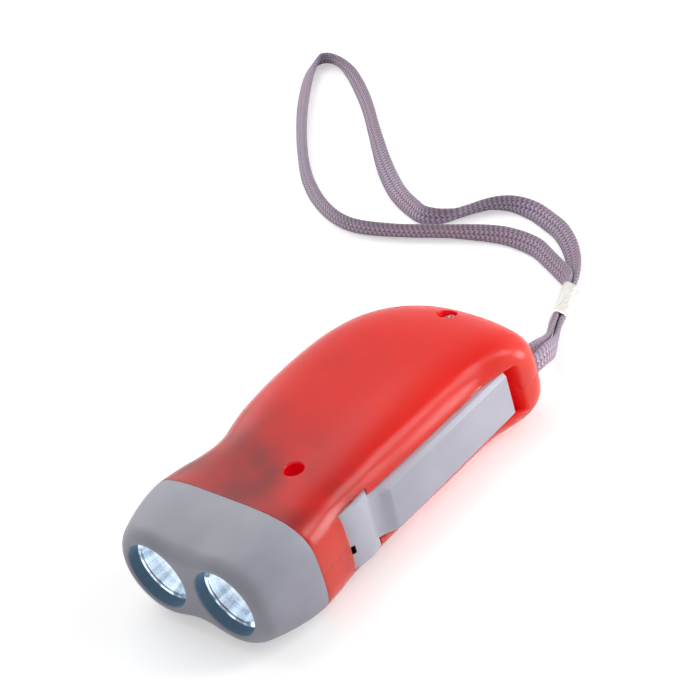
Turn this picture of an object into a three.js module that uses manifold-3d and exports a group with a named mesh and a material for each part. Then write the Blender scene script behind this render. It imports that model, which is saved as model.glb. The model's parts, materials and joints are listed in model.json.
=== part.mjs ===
// Hand-squeeze dynamo flashlight, lying on its lower shell.
// Millimetres. X points to the squeeze lever, Y from the lamps to the tail, Z up.
// In the model's own values Y is 0 at the lamp rims and Z is 0 at the shells' parting plane.
import * as THREE from 'three';
import { mergeVertices } from 'three/addons/utils/BufferGeometryUtils.js';
import Module from 'manifold-3d';

const wasm = await Module();
wasm.setup();

// Driving dimensions
const BODY_LENGTH = 107.4;
const BODY_HALF_WIDTH = 29;
const BODY_HALF_HEIGHT = 14.6;
const SECTION_POWER = 3.7;
const SHELL_WALL = 1.8;
const PARTING_GAP = 0.24;
const REST_FLAT_DEPTH = 0.4;
const RUN_CLEARANCE = 0.3;
const SEAT_CLEARANCE = 0.2;
const OVERRUN = 2;

// Lamp head
const BEZEL_DEPTH = 18.1;
const BEZEL_WALL = 2.4;
const BORE_RADIUS = 9.2;
const BORE_SPACING = 22.8;
const LOBE_RADIUS = 12.2;
const WAIST_HALF_HEIGHT = 10.2;
const RIM_ROUNDING = 2.4;
const RIM_ROUNDING_DEPTH = 3.4;
const HEAD_CAVITY_START = 2.6;
const HEAD_POINTS_PER_QUARTER = 10;
const HEAD_STATION_SHARES = [0, 0.16, 0.36, 0.64, 1];
const HEAD_FLARE_POWER = 1.8;
const RIM_STATION_COUNT = 3;
const LOBE_SHARE = 0.5;
const LOBE_TOP_DEGREES = 75;
const LENS_RECESS = 3.5;
const LENS_THICKNESS = 1.2;
const LENS_RIM_OVERLAP = 0.45;
const SLEEVE_WALL = 1.2;
const SLEEVE_END = 15;
const SPIGOT_LENGTH = 4;
const SPIGOT_ROOT = 3;
const SPIGOT_WALL = 1.4;
const REFLECTOR_WALL = 0.7;
const REFLECTOR_RIM = 1;
const REFLECTOR_BACK = 13.4;
const LED_RADIUS = 2.5;
const LED_FLANGE_RADIUS = 2.9;
const LED_FLANGE_THICKNESS = 1;
const LED_TIP = 8.2;
const BOWL_STEPS = 5;
const DOME_STEPS = 3;

// Electronics
const BOARD_FRONT = 15.2;
const BOARD_THICKNESS = 1.6;
const BOARD_WIDTH = 40;
const BOARD_HEIGHT = 13;
const CAPACITOR_RADIUS = 3.15;
const CAPACITOR_LENGTH = 11;
const CAPACITOR_CENTRE_X = -13;
const CAPACITOR_ROUNDING = 0.5;
const RECTIFIER_WIDTH = 6.4;
const RECTIFIER_LENGTH = 4.6;
const RECTIFIER_HEIGHT = 2.6;
const RECTIFIER_CENTRE_X = -2.5;
const LEAD_RADIUS = 0.55;
const LEAD_SPACING = 2.2;
const LEAD_END_X = 6.2;
const LEAD_SEGMENTS = 24;
const WIRE_SIDES = 5;

// Squeeze lever. Its places across the body are insets from the body's widest line.
const PIVOT_INSET = 9.5;
const PIVOT_Y = 34.5;
const PIVOT_PIN_RADIUS = 1.25;
const PIVOT_PIN_ROOF_GAP = 3.6;
const HUB_RADIUS = 6.8;
const HUB_HALF_HEIGHT = 8.1;
const KNUCKLE_RADIUS = 12;
const KNUCKLE_REACH = 5.85;
const LEVER_OPEN_DEGREES = 22;
const VALLEY_INSET = 4.4;
const VALLEY_Y = 38.8;
const CREASE_INSET = 2;
const CREASE_Y = 44.6;
const LEVER_END_INSET = 3.2;
const LEVER_TAIL_GAP = 16.2;
const LEVER_BACK_INSET = 9.4;
const LEVER_HALF_HEIGHT = 6.6;
const LEVER_FACE_HALF_HEIGHT = 5.6;
const LEVER_CHAMFER = 0.9;
const LEVER_SKIN = 2;
const LEVER_FLANGE = 1.6;
const PIVOT_BOSS_RADIUS = 3.2;
const RECESS_END_GAP = 3.4;
const OPENING_FRONT_GAP = 4.9;
const OPENING_FRONT_INSET = 6.2;
const RECESS_END_WALL = 1.6;
const RECESS_WALL_DEPTH = 9;

// Gear train
const SECTOR_MODULE = 0.8;
const SECTOR_TEETH = 75;
const DRIVE_PINION_TEETH = 10;
const DRIVE_MODULE = 0.6;
const DRIVE_GEAR_TEETH = 34;
const IDLER_PINION_TEETH = 9;
const IDLER_MODULE = 0.5;
const IDLER_GEAR_TEETH = 44;
const ROTOR_PINION_TEETH = 10;
const BACKLASH_SPACING = 0.08;
const DRIVE_AXLE_X = 6.73;
const SECTOR_MARGIN_DEGREES = 5;
const IDLER_DEGREES = 116;
const ROTOR_DEGREES = 204;
const TOOTH_TIP_SHARE = 0.22;
const TOOTH_ROOT_SHARE = 0.62;
const ADDENDUM_SHARE = 0.9;
const DEDENDUM_SHARE = 1.2;
const SECTOR_BOTTOM = -6.6;
const SECTOR_THICKNESS = 1.8;
const SECTOR_HUB_RADIUS = 4.6;
const SECTOR_RIM = 4;
const SECTOR_WINDOW_START = 8.5;
const SECTOR_SPOKE_DEGREES = 6;
const SECTOR_SEAT_STEPS = 4;
const SECTOR_WINDOW_STEPS = 6;
const DRIVE_GEAR_BOTTOM = -4.4;
const DRIVE_GEAR_THICKNESS = 2.2;
const IDLER_GEAR_BOTTOM = -1.6;
const IDLER_GEAR_THICKNESS = 2.2;
const GEAR_RIM = 1.6;
const GEAR_DISHING = 0.6;
const AXLE_RADIUS = 0.75;
const BOSS_RADIUS = 2.1;
const BOSS_SOCKET = 1.6;

// Dynamo
const FLYWHEEL_GAP = 0.63;
const FLYWHEEL_WALL = 1.5;
const FLYWHEEL_BOTTOM = 1.7;
const FLYWHEEL_WEB = 1.3;
const FLYWHEEL_ROOF_GAP = 5.4;
const FLYWHEEL_HUB_HEIGHT = 0.6;
const MAGNET_MARGIN = 0.2;
const FLYWHEEL_HUB_RADIUS = 2.6;
const MAGNET_THICKNESS = 1.7;
const CLAW_THICKNESS = 0.7;
const CLAW_COUNT = 4;
const CLAW_FILL_SHARE = 0.485;
const AIR_GAP = 0.4;
const STATOR_BORE_RADIUS = 1.5;
const BOBBIN_CORE_SHARE = 0.263;
const BOBBIN_FLANGE = 0.6;
const BOBBIN_CLAW_GAP = 0.5;
const STATOR_BOTTOM = 3.9;
const STATOR_ROOF_GAP = 5;
const STATOR_BOSS_RADIUS = 3.6;

// Screws that hold the shells together
const FRONT_SCREW_X = 8.8;
const FRONT_SCREW_Y = 33.4;
const REAR_SCREW_X = 1.6;
const REAR_SCREW_TAIL_GAP = 7.4;
const SCREW_SHANK_RADIUS = 1;
const SCREW_HEAD_RADIUS = 2.1;
const SCREW_HEAD_THICKNESS = 1.5;
const SCREW_SLOT = 0.6;
const SCREW_LENGTH = 14;
const WELL_RADIUS = 2.5;
const WELL_DEPTH = 5.4;
const WELL_FLOOR = BODY_HALF_HEIGHT - WELL_DEPTH;
const POST_RADIUS = 3.6;
const LOWER_POST_RADIUS = 2.6;

// Lever lock on the underside
const LOCK_TRAVEL = 1;
const LOCK_TONGUE_INSET = 4.9;
const LOCK_TONGUE_WIDTH = 1;
const LOCK_TONGUE_Z = -2.8;
const LOCK_TONGUE_HEIGHT = 1.6;
const LOCK_TONGUE_TIP_Y = 28.55;
const LOCK_NOTCH_LENGTH = 2.6;
const LOCK_ARM_Y = 24.5;
const LOCK_ARM_WIDTH = 2.2;
const LOCK_RISER_X = 12.6;
const LOCK_RISER_WIDTH = 1.5;
const LOCK_BUTTON_X = 9;
const LOCK_BUTTON_Y = 26.4;
const LOCK_BUTTON_WIDTH = 6;
const LOCK_BUTTON_LENGTH = 6;
const LOCK_PLATE_THICKNESS = 1.2;
const LOCK_PLATE_GAP = 0.6;
const LOCK_PLATE_MARGIN = 1.2;
const LOCK_RIB_COUNT = 4;
const LOCK_RIB_WIDTH = 0.7;
const LOCK_RIB_HEIGHT = 0.4;

// Lever return spring
const SPRING_WIRE_RADIUS = 0.4;
const SPRING_RADIUS = 3.3;
const SPRING_TURNS = 3;
const SPRING_HEIGHT = 4.2;
const SPRING_BOTTOM = 3.7;
const SPRING_POCKET_RADIUS = 4.3;
const SPRING_STEPS_PER_TURN = 10;

// Wrist strap
const STRAP_WIDTH = 5.6;
const STRAP_THICKNESS = 1.5;
const STRAP_POST_INSET = 7.4;
const STRAP_POST_TAIL_GAP = 6.1;
const STRAP_POST_RADIUS = 1.1;
const STRAP_SLOT_HALF_WIDTH = 4.2;
const STRAP_SLOT_HALF_HEIGHT = 3.9;
const STRAP_SEGMENTS = 96;
const TETHER_SEGMENTS = 36;
const STRAP_CORNER_SHARE = 0.6;
const POST_TURN_STEPS = 5;
const CRIMP_WALL = 0.45;
const CRIMP_SPREAD = 0.85;
const CRIMP_END_GAP = 0.8;
const CRIMP_TILT_DEGREES = 58;

// Body outline, from the right of the bezel's parting line, round the tail, to its left.
// Each point is [share of BODY_HALF_WIDTH, share of the shells' length behind the bezel].
const RIGHT_SIDE_SHARES = [
  [0.924, 0], [0.903, 0.066], [0.862, 0.144], [0.85, 0.268], [0.85, 0.469],
  [0.845, 0.671], [0.859, 0.76], [0.914, 0.828], [0.952, 0.878], [0.938, 0.917],
];
const TAIL_SHARES = [
  [0.862, 0.951], [0.724, 0.976], [0.448, 0.994], [0.138, 1], [-0.172, 0.993], [-0.448, 0.966],
];
const LEFT_SIDE_SHARES = [
  [-0.69, 0.915], [-0.869, 0.839], [-0.966, 0.746], [-1, 0.648], [-1, 0.548], [-0.976, 0.447],
  [-0.924, 0.346], [-0.859, 0.279], [-0.803, 0.228], [-0.79, 0.178], [-0.824, 0.122],
  [-0.883, 0.066], [-0.924, 0],
];
const LEVEL_SHARES = [0.45, 0.7, 0.86, 0.95, 0.988, 0.999];
const SPINE_END_SHARE = 0.693;
const TAIL_DROP_START_SHARE = 0.55;
const TAIL_DROP_SHARE = 0.11;
const OUTLINE_SEGMENTS = 46;
const FINE_SEGMENTS = 28;
const ROUND_SEGMENTS = 20;
const PIN_SEGMENTS = 10;

// Sizes worked out from the driving ones
const SHELL_LENGTH = BODY_LENGTH - BEZEL_DEPTH;
const REST_Z = REST_FLAT_DEPTH - BODY_HALF_HEIGHT;
const REST_CENTRE_Y = BODY_LENGTH / 2;
const ROOF_HEIGHT = BODY_HALF_HEIGHT - SHELL_WALL;
const PIVOT_X = BODY_HALF_WIDTH - PIVOT_INSET;
const PIVOT_PIN_HALF_LENGTH = BODY_HALF_HEIGHT - PIVOT_PIN_ROOF_GAP;
const VALLEY_X = BODY_HALF_WIDTH - VALLEY_INSET;
const CREASE_X = BODY_HALF_WIDTH - CREASE_INSET;
const LEVER_END_X = BODY_HALF_WIDTH - LEVER_END_INSET;
const LEVER_BACK_X = BODY_HALF_WIDTH - LEVER_BACK_INSET;
const LEVER_END_Y = BODY_LENGTH - LEVER_TAIL_GAP;
const RECESS_END_Y = LEVER_END_Y + RECESS_END_GAP;
const LOCK_TONGUE_X = BODY_HALF_WIDTH - LOCK_TONGUE_INSET;
const FLYWHEEL_TOP = BODY_HALF_HEIGHT - FLYWHEEL_ROOF_GAP;
const STATOR_TOP = BODY_HALF_HEIGHT - STATOR_ROOF_GAP;
const LEVER_CUT_HALF_HEIGHT = LEVER_HALF_HEIGHT + RUN_CLEARANCE;
const HUB_CUT_HALF_HEIGHT = HUB_HALF_HEIGHT + RUN_CLEARANCE;
const radians = (degrees) => THREE.MathUtils.degToRad(degrees);
const pitchRadius = (module, teeth) => module * teeth / 2;

// Axle places: each gear stands one centre distance from the gear that drives it
const SECTOR_RADIUS = pitchRadius(SECTOR_MODULE, SECTOR_TEETH);
const DRIVE_DISTANCE = SECTOR_RADIUS + pitchRadius(SECTOR_MODULE, DRIVE_PINION_TEETH)
  + BACKLASH_SPACING;
const IDLER_DISTANCE = pitchRadius(DRIVE_MODULE, DRIVE_GEAR_TEETH + IDLER_PINION_TEETH)
  + BACKLASH_SPACING;
const ROTOR_DISTANCE = pitchRadius(IDLER_MODULE, IDLER_GEAR_TEETH + ROTOR_PINION_TEETH)
  + BACKLASH_SPACING;
const DRIVE_DIRECTION = Math.PI / 2 + Math.asin((PIVOT_X - DRIVE_AXLE_X) / DRIVE_DISTANCE);
const IDLER_DIRECTION = radians(IDLER_DEGREES);
const ROTOR_DIRECTION = radians(ROTOR_DEGREES);
const pivot = new THREE.Vector2(PIVOT_X, PIVOT_Y);
const driveAxle = stepFrom(pivot, DRIVE_DIRECTION, DRIVE_DISTANCE);
const idlerAxle = stepFrom(driveAxle, IDLER_DIRECTION, IDLER_DISTANCE);
const rotorAxle = stepFrom(idlerAxle, ROTOR_DIRECTION, ROTOR_DISTANCE);
const strapPost = new THREE.Vector2(
  BODY_HALF_WIDTH - STRAP_POST_INSET,
  BODY_LENGTH - STRAP_POST_TAIL_GAP,
);
const screwPlaces = [
  new THREE.Vector2(FRONT_SCREW_X, FRONT_SCREW_Y),
  new THREE.Vector2(REAR_SCREW_X, BODY_LENGTH - REAR_SCREW_TAIL_GAP),
];

// A point at a distance from another, in the plan's given direction.
function stepFrom(point, direction, distance) {
  const step = new THREE.Vector2(Math.cos(direction), Math.sin(direction));
  return point.clone().addScaledVector(step, distance);
}

// Makes a solid of a closed geometry, merging the corners that its faces share.
function solid(geometry) {
  const bare = geometry.clone();
  bare.deleteAttribute('normal');
  bare.deleteAttribute('uv');
  const merged = mergeVertices(bare);
  const mesh = new wasm.Mesh({
    numProp: 3,
    vertProperties: new Float32Array(merged.attributes.position.array),
    triVerts: new Uint32Array(merged.index.array),
  });
  return new wasm.Manifold(mesh);
}

// Turns a solid back into a geometry that a mesh can show.
function geometryOf(body) {
  const mesh = body.getMesh();
  const geometry = new THREE.BufferGeometry();
  geometry.setAttribute('position', new THREE.Float32BufferAttribute(mesh.vertProperties, 3));
  geometry.setIndex(Array.from(mesh.triVerts));
  geometry.computeVertexNormals();
  return geometry;
}

const join = (first, ...others) => others.reduce((body, other) => body.add(other), first);
const cut = (first, ...tools) => tools.reduce((body, tool) => body.subtract(tool), first);

// An upright round bar between two heights.
function disc(centre, radius, bottom, top, segments = ROUND_SEGMENTS) {
  const geometry = new THREE.CylinderGeometry(radius, radius, top - bottom, segments);
  geometry.rotateX(Math.PI / 2);
  geometry.translate(centre.x, centre.y, (bottom + top) / 2);
  return solid(geometry);
}

// An upright tube between two heights.
function ring(centre, outer, inner, bottom, top, segments = ROUND_SEGMENTS) {
  const bore = disc(centre, inner, bottom - OVERRUN, top + OVERRUN, segments);
  return disc(centre, outer, bottom, top, segments).subtract(bore);
}

// A block given by its lowest and highest corners.
function block(low, high) {
  const size = new THREE.Vector3(...high).sub(new THREE.Vector3(...low));
  const geometry = new THREE.BoxGeometry(size.x, size.y, size.z);
  geometry.translate(low[0] + size.x / 2, low[1] + size.y / 2, low[2] + size.z / 2);
  return solid(geometry);
}

// A plate of a closed plan outline between two heights.
function plate(points, bottom, top) {
  const shape = new THREE.Shape(points);
  const geometry = new THREE.ExtrudeGeometry(shape, { depth: top - bottom, bevelEnabled: false });
  geometry.translate(0, 0, bottom);
  return solid(geometry);
}

// A turned piece whose axis lies along Y: the profile holds [radius, y] pairs.
function turnedAlongY(profile, x, segments = ROUND_SEGMENTS) {
  const points = profile.map(([radius, y]) => new THREE.Vector2(radius, y));
  const geometry = new THREE.LatheGeometry(points, segments);
  geometry.translate(x, 0, 0);
  return solid(facingOut(geometry));
}

// Turns every face of a closed geometry over when it encloses less than nothing.
function facingOut(geometry) {
  const bare = geometry.index ? geometry : mergeVertices(geometry);
  const places = bare.attributes.position;
  const corners = Array.from(bare.index.array);
  const a = new THREE.Vector3();
  const b = new THREE.Vector3();
  const c = new THREE.Vector3();
  let volume = 0;
  for (let i = 0; i < corners.length; i += 3) {
    a.fromBufferAttribute(places, corners[i]);
    b.fromBufferAttribute(places, corners[i + 1]);
    c.fromBufferAttribute(places, corners[i + 2]);
    volume += a.dot(b.cross(c));
  }
  if (volume < 0) bare.setIndex(corners.reverse());
  return bare;
}

// Closes a stack of rings of equal count into one skin. flat gives a ring point's plan place.
function loft(rings, flat) {
  const count = rings[0].length;
  const places = rings.flat().flatMap((point) => [point.x, point.y, point.z]);
  const corners = [];
  for (let level = 0; level + 1 < rings.length; level += 1) {
    for (let i = 0; i < count; i += 1) {
      const here = level * count + i;
      const next = level * count + (i + 1) % count;
      corners.push(here, next, next + count, here, next + count, here + count);
    }
  }
  const last = (rings.length - 1) * count;
  for (const [i, j, k] of THREE.ShapeUtils.triangulateShape(rings[0].map(flat), [])) {
    corners.push(i, k, j);
  }
  for (const [i, j, k] of THREE.ShapeUtils.triangulateShape(rings.at(-1).map(flat), [])) {
    corners.push(last + i, last + j, last + k);
  }
  const geometry = new THREE.BufferGeometry();
  geometry.setAttribute('position', new THREE.Float32BufferAttribute(places, 3));
  geometry.setIndex(corners);
  return facingOut(geometry);
}

// The body's plan outline, moved in by an inset, with its two front ends at frontY.
function bodyOutline(inset, frontY) {
  const shares = [...RIGHT_SIDE_SHARES, ...TAIL_SHARES, ...LEFT_SIDE_SHARES];
  const points = shares.map(([across, along]) => new THREE.Vector2(
    across * BODY_HALF_WIDTH,
    BEZEL_DEPTH + along * SHELL_LENGTH,
  ));
  const curve = new THREE.SplineCurve(points);
  const outline = [];
  for (let i = 0; i <= OUTLINE_SEGMENTS; i += 1) {
    const share = i / OUTLINE_SEGMENTS;
    const tangent = curve.getTangent(share);
    const inward = new THREE.Vector2(-tangent.y, tangent.x);
    outline.push(curve.getPoint(share).addScaledVector(inward, inset));
  }
  outline[0].y = frontY;
  outline.at(-1).y = frontY;
  return outline;
}

// Half the section's height at a place along the body, which drops towards the tail.
function halfHeightAt(y, inset) {
  const start = BEZEL_DEPTH + TAIL_DROP_START_SHARE * SHELL_LENGTH;
  const along = Math.max(y - start, 0) / (BODY_LENGTH - start);
  return BODY_HALF_HEIGHT * (1 - TAIL_DROP_SHARE * along * along) - inset;
}

// One half of the body, above (side 1) or below (side -1) the parting plane, from baseZ.
function halfBody(side, inset, frontY, baseZ) {
  const outline = bodyOutline(inset, frontY);
  const spineEnd = BEZEL_DEPTH + SPINE_END_SHARE * SHELL_LENGTH;
  const base = outline.map((point) => new THREE.Vector3(point.x, point.y, side * baseZ));
  const rings = LEVEL_SHARES.map((level) => {
    const reach = (1 - level ** SECTION_POWER) ** (1 / SECTION_POWER);
    return outline.map((point) => {
      const spineY = Math.min(point.y, spineEnd);
      const y = spineY + (point.y - spineY) * reach;
      return new THREE.Vector3(point.x * reach, y, side * level * halfHeightAt(y, inset));
    });
  });
  return solid(loft([base, ...rings], (point) => new THREE.Vector2(point.x, point.y)));
}

// The whole body as one solid, moved in by an inset and open-ended at frontY.
function wholeBody(inset, frontY) {
  return join(
    halfBody(1, inset, frontY, -PARTING_GAP),
    halfBody(-1, inset, frontY, -PARTING_GAP),
  );
}

// Everything below the plane that the flashlight rests on.
function belowRest() {
  const reach = BODY_LENGTH + OVERRUN;
  return block([-reach, -OVERRUN, REST_Z - BODY_HALF_HEIGHT], [reach, reach, REST_Z]);
}

// One quarter's point of the two-lobed rim outline, at a share of the way round it.
function lobePoint(share, inset) {
  const half = BORE_SPACING / 2;
  if (share < LOBE_SHARE) {
    const angle = Math.PI / 2 * share / LOBE_SHARE;
    const radius = LOBE_RADIUS - inset;
    return [half + radius * Math.cos(angle), radius * Math.sin(angle)];
  }
  const across = (1 - share) / (1 - LOBE_SHARE);
  const rise = (1 - Math.cos(Math.PI * across)) / 2;
  const height = WAIST_HALF_HEIGHT + (LOBE_RADIUS - WAIST_HALF_HEIGHT) * rise - inset;
  return [half * across, height];
}

// The same quarter's point on the section that the head shares with the shells.
function mouthPoint(share, inset) {
  const lobeTop = radians(LOBE_TOP_DEGREES);
  const angle = share < LOBE_SHARE
    ? lobeTop * share / LOBE_SHARE
    : lobeTop + (Math.PI / 2 - lobeTop) * (share - LOBE_SHARE) / (1 - LOBE_SHARE);
  const power = 2 / SECTION_POWER;
  const halfWidth = RIGHT_SIDE_SHARES[0][0] * BODY_HALF_WIDTH - inset;
  const halfHeight = BODY_HALF_HEIGHT - inset;
  return [
    halfWidth * Math.max(Math.cos(angle), 0) ** power,
    halfHeight * Math.max(Math.sin(angle), 0) ** power,
  ];
}

// One closed section of the lamp head at y, moved in by an inset.
function headRing(y, inset) {
  const behind = Math.min(y / BEZEL_DEPTH, 1);
  const blend = 1 - (1 - behind) ** HEAD_FLARE_POWER;
  const quarter = (share) => {
    const lobe = lobePoint(share, inset);
    const mouth = mouthPoint(share, inset);
    return lobe.map((value, i) => value + (mouth[i] - value) * blend);
  };
  const points = [];
  for (let i = 0; i < 4 * HEAD_POINTS_PER_QUARTER; i += 1) {
    const turn = Math.floor(i / HEAD_POINTS_PER_QUARTER);
    const along = (i % HEAD_POINTS_PER_QUARTER) / HEAD_POINTS_PER_QUARTER;
    const rising = turn % 2 === 0;
    const [x, z] = quarter(rising ? along : 1 - along);
    const sideX = turn === 0 || turn === 3 ? 1 : -1;
    const sideZ = turn < 2 ? 1 : -1;
    points.push(new THREE.Vector3(sideX * x, y, sideZ * z));
  }
  return points;
}

// The lamp head's outer form: a rounded rim, then a blend from two lobes to the shells' section.
function headForm() {
  const rings = [];
  for (let i = 0; i < RIM_STATION_COUNT; i += 1) {
    const angle = Math.PI / 2 * i / RIM_STATION_COUNT;
    const inset = RIM_ROUNDING * (1 - Math.sin(angle));
    rings.push(headRing(RIM_ROUNDING_DEPTH * (1 - Math.cos(angle)), inset));
  }
  for (const share of HEAD_STATION_SHARES) {
    const length = BEZEL_DEPTH - RIM_ROUNDING_DEPTH;
    rings.push(headRing(RIM_ROUNDING_DEPTH + share * length, 0));
  }
  return solid(loft(rings, (point) => new THREE.Vector2(point.x, point.z)));
}

// The space behind the head's front wall.
function headCavity() {
  const ends = [HEAD_CAVITY_START, (HEAD_CAVITY_START + BEZEL_DEPTH) / 2, BEZEL_DEPTH];
  const rings = ends.map((y) => headRing(y, BEZEL_WALL));
  const past = headRing(BEZEL_DEPTH, BEZEL_WALL);
  past.forEach((point) => { point.y += OVERRUN; });
  return solid(loft([...rings, past], (point) => new THREE.Vector2(point.x, point.z)));
}

const lampCentres = [-BORE_SPACING / 2, BORE_SPACING / 2];
const LENS_RADIUS = BORE_RADIUS + LENS_RIM_OVERLAP;
const SEAT_RADIUS = LENS_RADIUS + SEAT_CLEARANCE;
const barAlongY = (x, radius, start, end, segments = FINE_SEGMENTS) => turnedAlongY(
  [[0, start], [radius, start], [radius, end], [0, end]],
  x,
  segments,
);

// The grey lamp head with its two lamp bores and the spigot that the shells close on.
function lampBezel() {
  const spigotInset = SHELL_WALL + SEAT_CLEARANCE;
  const spigotStart = BEZEL_DEPTH - SPIGOT_ROOT;
  const spigot = wholeBody(spigotInset, spigotStart)
    .subtract(wholeBody(spigotInset + SPIGOT_WALL, spigotStart - OVERRUN))
    .intersect(block(
      [-BODY_HALF_WIDTH, spigotStart, -BODY_HALF_HEIGHT],
      [BODY_HALF_WIDTH, BEZEL_DEPTH + SPIGOT_LENGTH, BODY_HALF_HEIGHT],
    ));
  const sleeves = lampCentres.map((x) => (
    barAlongY(x, SEAT_RADIUS + SLEEVE_WALL, RIM_ROUNDING, SLEEVE_END)
  ));
  const bores = lampCentres.flatMap((x) => [
    barAlongY(x, BORE_RADIUS, -OVERRUN, BEZEL_DEPTH + OVERRUN),
    barAlongY(x, SEAT_RADIUS, LENS_RECESS, BEZEL_DEPTH + OVERRUN),
  ]);
  return cut(join(cut(headForm(), headCavity()), spigot, ...sleeves), ...bores, belowRest());
}

// A clear lens disc against its bore's inner lip.
function lens(x) {
  return barAlongY(x, LENS_RADIUS, LENS_RECESS, LENS_RECESS + LENS_THICKNESS);
}

// A bright bowl behind a lens, open at its back for the lamp.
function reflector(x) {
  const front = LENS_RECESS + LENS_THICKNESS;
  const neck = LED_RADIUS + RUN_CLEARANCE;
  const mouth = LENS_RADIUS - REFLECTOR_WALL;
  const depth = REFLECTOR_BACK - front;
  const bowl = Array.from({ length: BOWL_STEPS }, (_, step) => {
    const share = step / BOWL_STEPS;
    return [neck + (mouth - neck) * Math.sqrt(1 - share), front + depth * share];
  });
  const back = [...bowl].reverse().map(([radius, y]) => [
    radius + REFLECTOR_WALL,
    Math.max(y, front + REFLECTOR_RIM),
  ]);
  const outside = back.slice(0, -1);
  const profile = [
    ...bowl,
    [neck, REFLECTOR_BACK],
    [neck + REFLECTOR_WALL, REFLECTOR_BACK],
    ...outside,
    [LENS_RADIUS, front + REFLECTOR_RIM],
    [LENS_RADIUS, front],
    bowl[0],
  ];
  return turnedAlongY(profile, x, FINE_SEGMENTS);
}

// A round lamp with a domed tip and a flange that sits on the circuit board.
function led(x) {
  const dome = Array.from({ length: DOME_STEPS + 1 }, (_, step) => {
    const angle = Math.PI / 2 * step / DOME_STEPS;
    return [LED_RADIUS * Math.sin(angle), LED_TIP + LED_RADIUS * (1 - Math.cos(angle))];
  });
  const flangeStart = BOARD_FRONT - LED_FLANGE_THICKNESS;
  return turnedAlongY([
    ...dome,
    [LED_RADIUS, flangeStart],
    [LED_FLANGE_RADIUS, flangeStart],
    [LED_FLANGE_RADIUS, BOARD_FRONT],
    [0, BOARD_FRONT],
  ], x);
}

const BOARD_BACK = BOARD_FRONT + BOARD_THICKNESS;

// The board across the head that carries the lamps.
function circuitBoard() {
  return block(
    [-BOARD_WIDTH / 2, BOARD_FRONT, -BOARD_HEIGHT / 2],
    [BOARD_WIDTH / 2, BOARD_BACK, BOARD_HEIGHT / 2],
  );
}

// A can with a rounded end, standing on the board's back.
function smoothingCapacitor() {
  const end = BOARD_BACK + CAPACITOR_LENGTH;
  return turnedAlongY([
    [0, BOARD_BACK],
    [CAPACITOR_RADIUS, BOARD_BACK],
    [CAPACITOR_RADIUS, end - CAPACITOR_ROUNDING],
    [CAPACITOR_RADIUS - CAPACITOR_ROUNDING, end],
    [0, end],
  ], CAPACITOR_CENTRE_X);
}

// The block that turns the dynamo's alternating current into direct current.
function bridgeRectifier() {
  return block(
    [RECTIFIER_CENTRE_X - RECTIFIER_WIDTH / 2, BOARD_BACK, -RECTIFIER_LENGTH / 2],
    [RECTIFIER_CENTRE_X + RECTIFIER_WIDTH / 2, BOARD_BACK + RECTIFIER_HEIGHT, RECTIFIER_LENGTH / 2],
  );
}

// Gear teeth are trapezoids, with their widths at the root and the tip as shares of the pitch.
function toothOutline(centre, radius, module, angle, pitch) {
  const root = radius - DEDENDUM_SHARE * module;
  const tip = radius + ADDENDUM_SHARE * module;
  const corners = [
    [root, -TOOTH_ROOT_SHARE], [tip, -TOOTH_TIP_SHARE],
    [tip, TOOTH_TIP_SHARE], [root, TOOTH_ROOT_SHARE],
  ];
  return corners.map(([reach, share]) => stepFrom(centre, angle + share * pitch / 2, reach));
}

// The plan outline of a whole gear with one tooth's centre at the phase angle.
function gearOutline(centre, module, teeth, phase) {
  const pitch = 2 * Math.PI / teeth;
  const radius = pitchRadius(module, teeth);
  const points = [];
  for (let i = 0; i < teeth; i += 1) {
    points.push(...toothOutline(centre, radius, module, phase + i * pitch, pitch));
  }
  return points;
}

// The phase at which a gear's gap faces the tooth position of the gear it meshes with.
function matingPhase(direction, drivingPhase, drivingTeeth, drivenTeeth) {
  const place = (direction - drivingPhase) * drivingTeeth / (2 * Math.PI);
  const fraction = place - Math.floor(place);
  return direction + Math.PI - 2 * Math.PI / drivenTeeth * (1 / 2 - fraction);
}

const AXLE_BORE_RADIUS = AXLE_RADIUS + RUN_CLEARANCE;
const PINION_TOP = DRIVE_GEAR_BOTTOM;
const DRIVE_GEAR_TOP = DRIVE_GEAR_BOTTOM + DRIVE_GEAR_THICKNESS;
const IDLER_GEAR_TOP = IDLER_GEAR_BOTTOM + IDLER_GEAR_THICKNESS;
const axleBore = (centre) => disc(
  centre,
  AXLE_BORE_RADIUS,
  -BODY_HALF_HEIGHT,
  BODY_HALF_HEIGHT,
  PIN_SEGMENTS,
);

// The first pinion, turned by the lever's toothed sector.
function drivePinion() {
  const phase = matingPhase(DRIVE_DIRECTION, DRIVE_DIRECTION, SECTOR_TEETH, DRIVE_PINION_TEETH);
  const outline = gearOutline(driveAxle, SECTOR_MODULE, DRIVE_PINION_TEETH, phase);
  return cut(plate(outline, SECTOR_BOTTOM, PINION_TOP), axleBore(driveAxle));
}

// The gear on the first pinion's axle, thinned between its rim and its hub.
function driveGear() {
  const radius = pitchRadius(DRIVE_MODULE, DRIVE_GEAR_TEETH);
  const rim = radius - DEDENDUM_SHARE * DRIVE_MODULE - GEAR_RIM;
  const dish = ring(
    driveAxle,
    rim,
    BOSS_RADIUS,
    DRIVE_GEAR_TOP - GEAR_DISHING,
    DRIVE_GEAR_TOP + OVERRUN,
  );
  const outline = gearOutline(driveAxle, DRIVE_MODULE, DRIVE_GEAR_TEETH, 0);
  return cut(plate(outline, DRIVE_GEAR_BOTTOM, DRIVE_GEAR_TOP), dish, axleBore(driveAxle));
}

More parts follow.
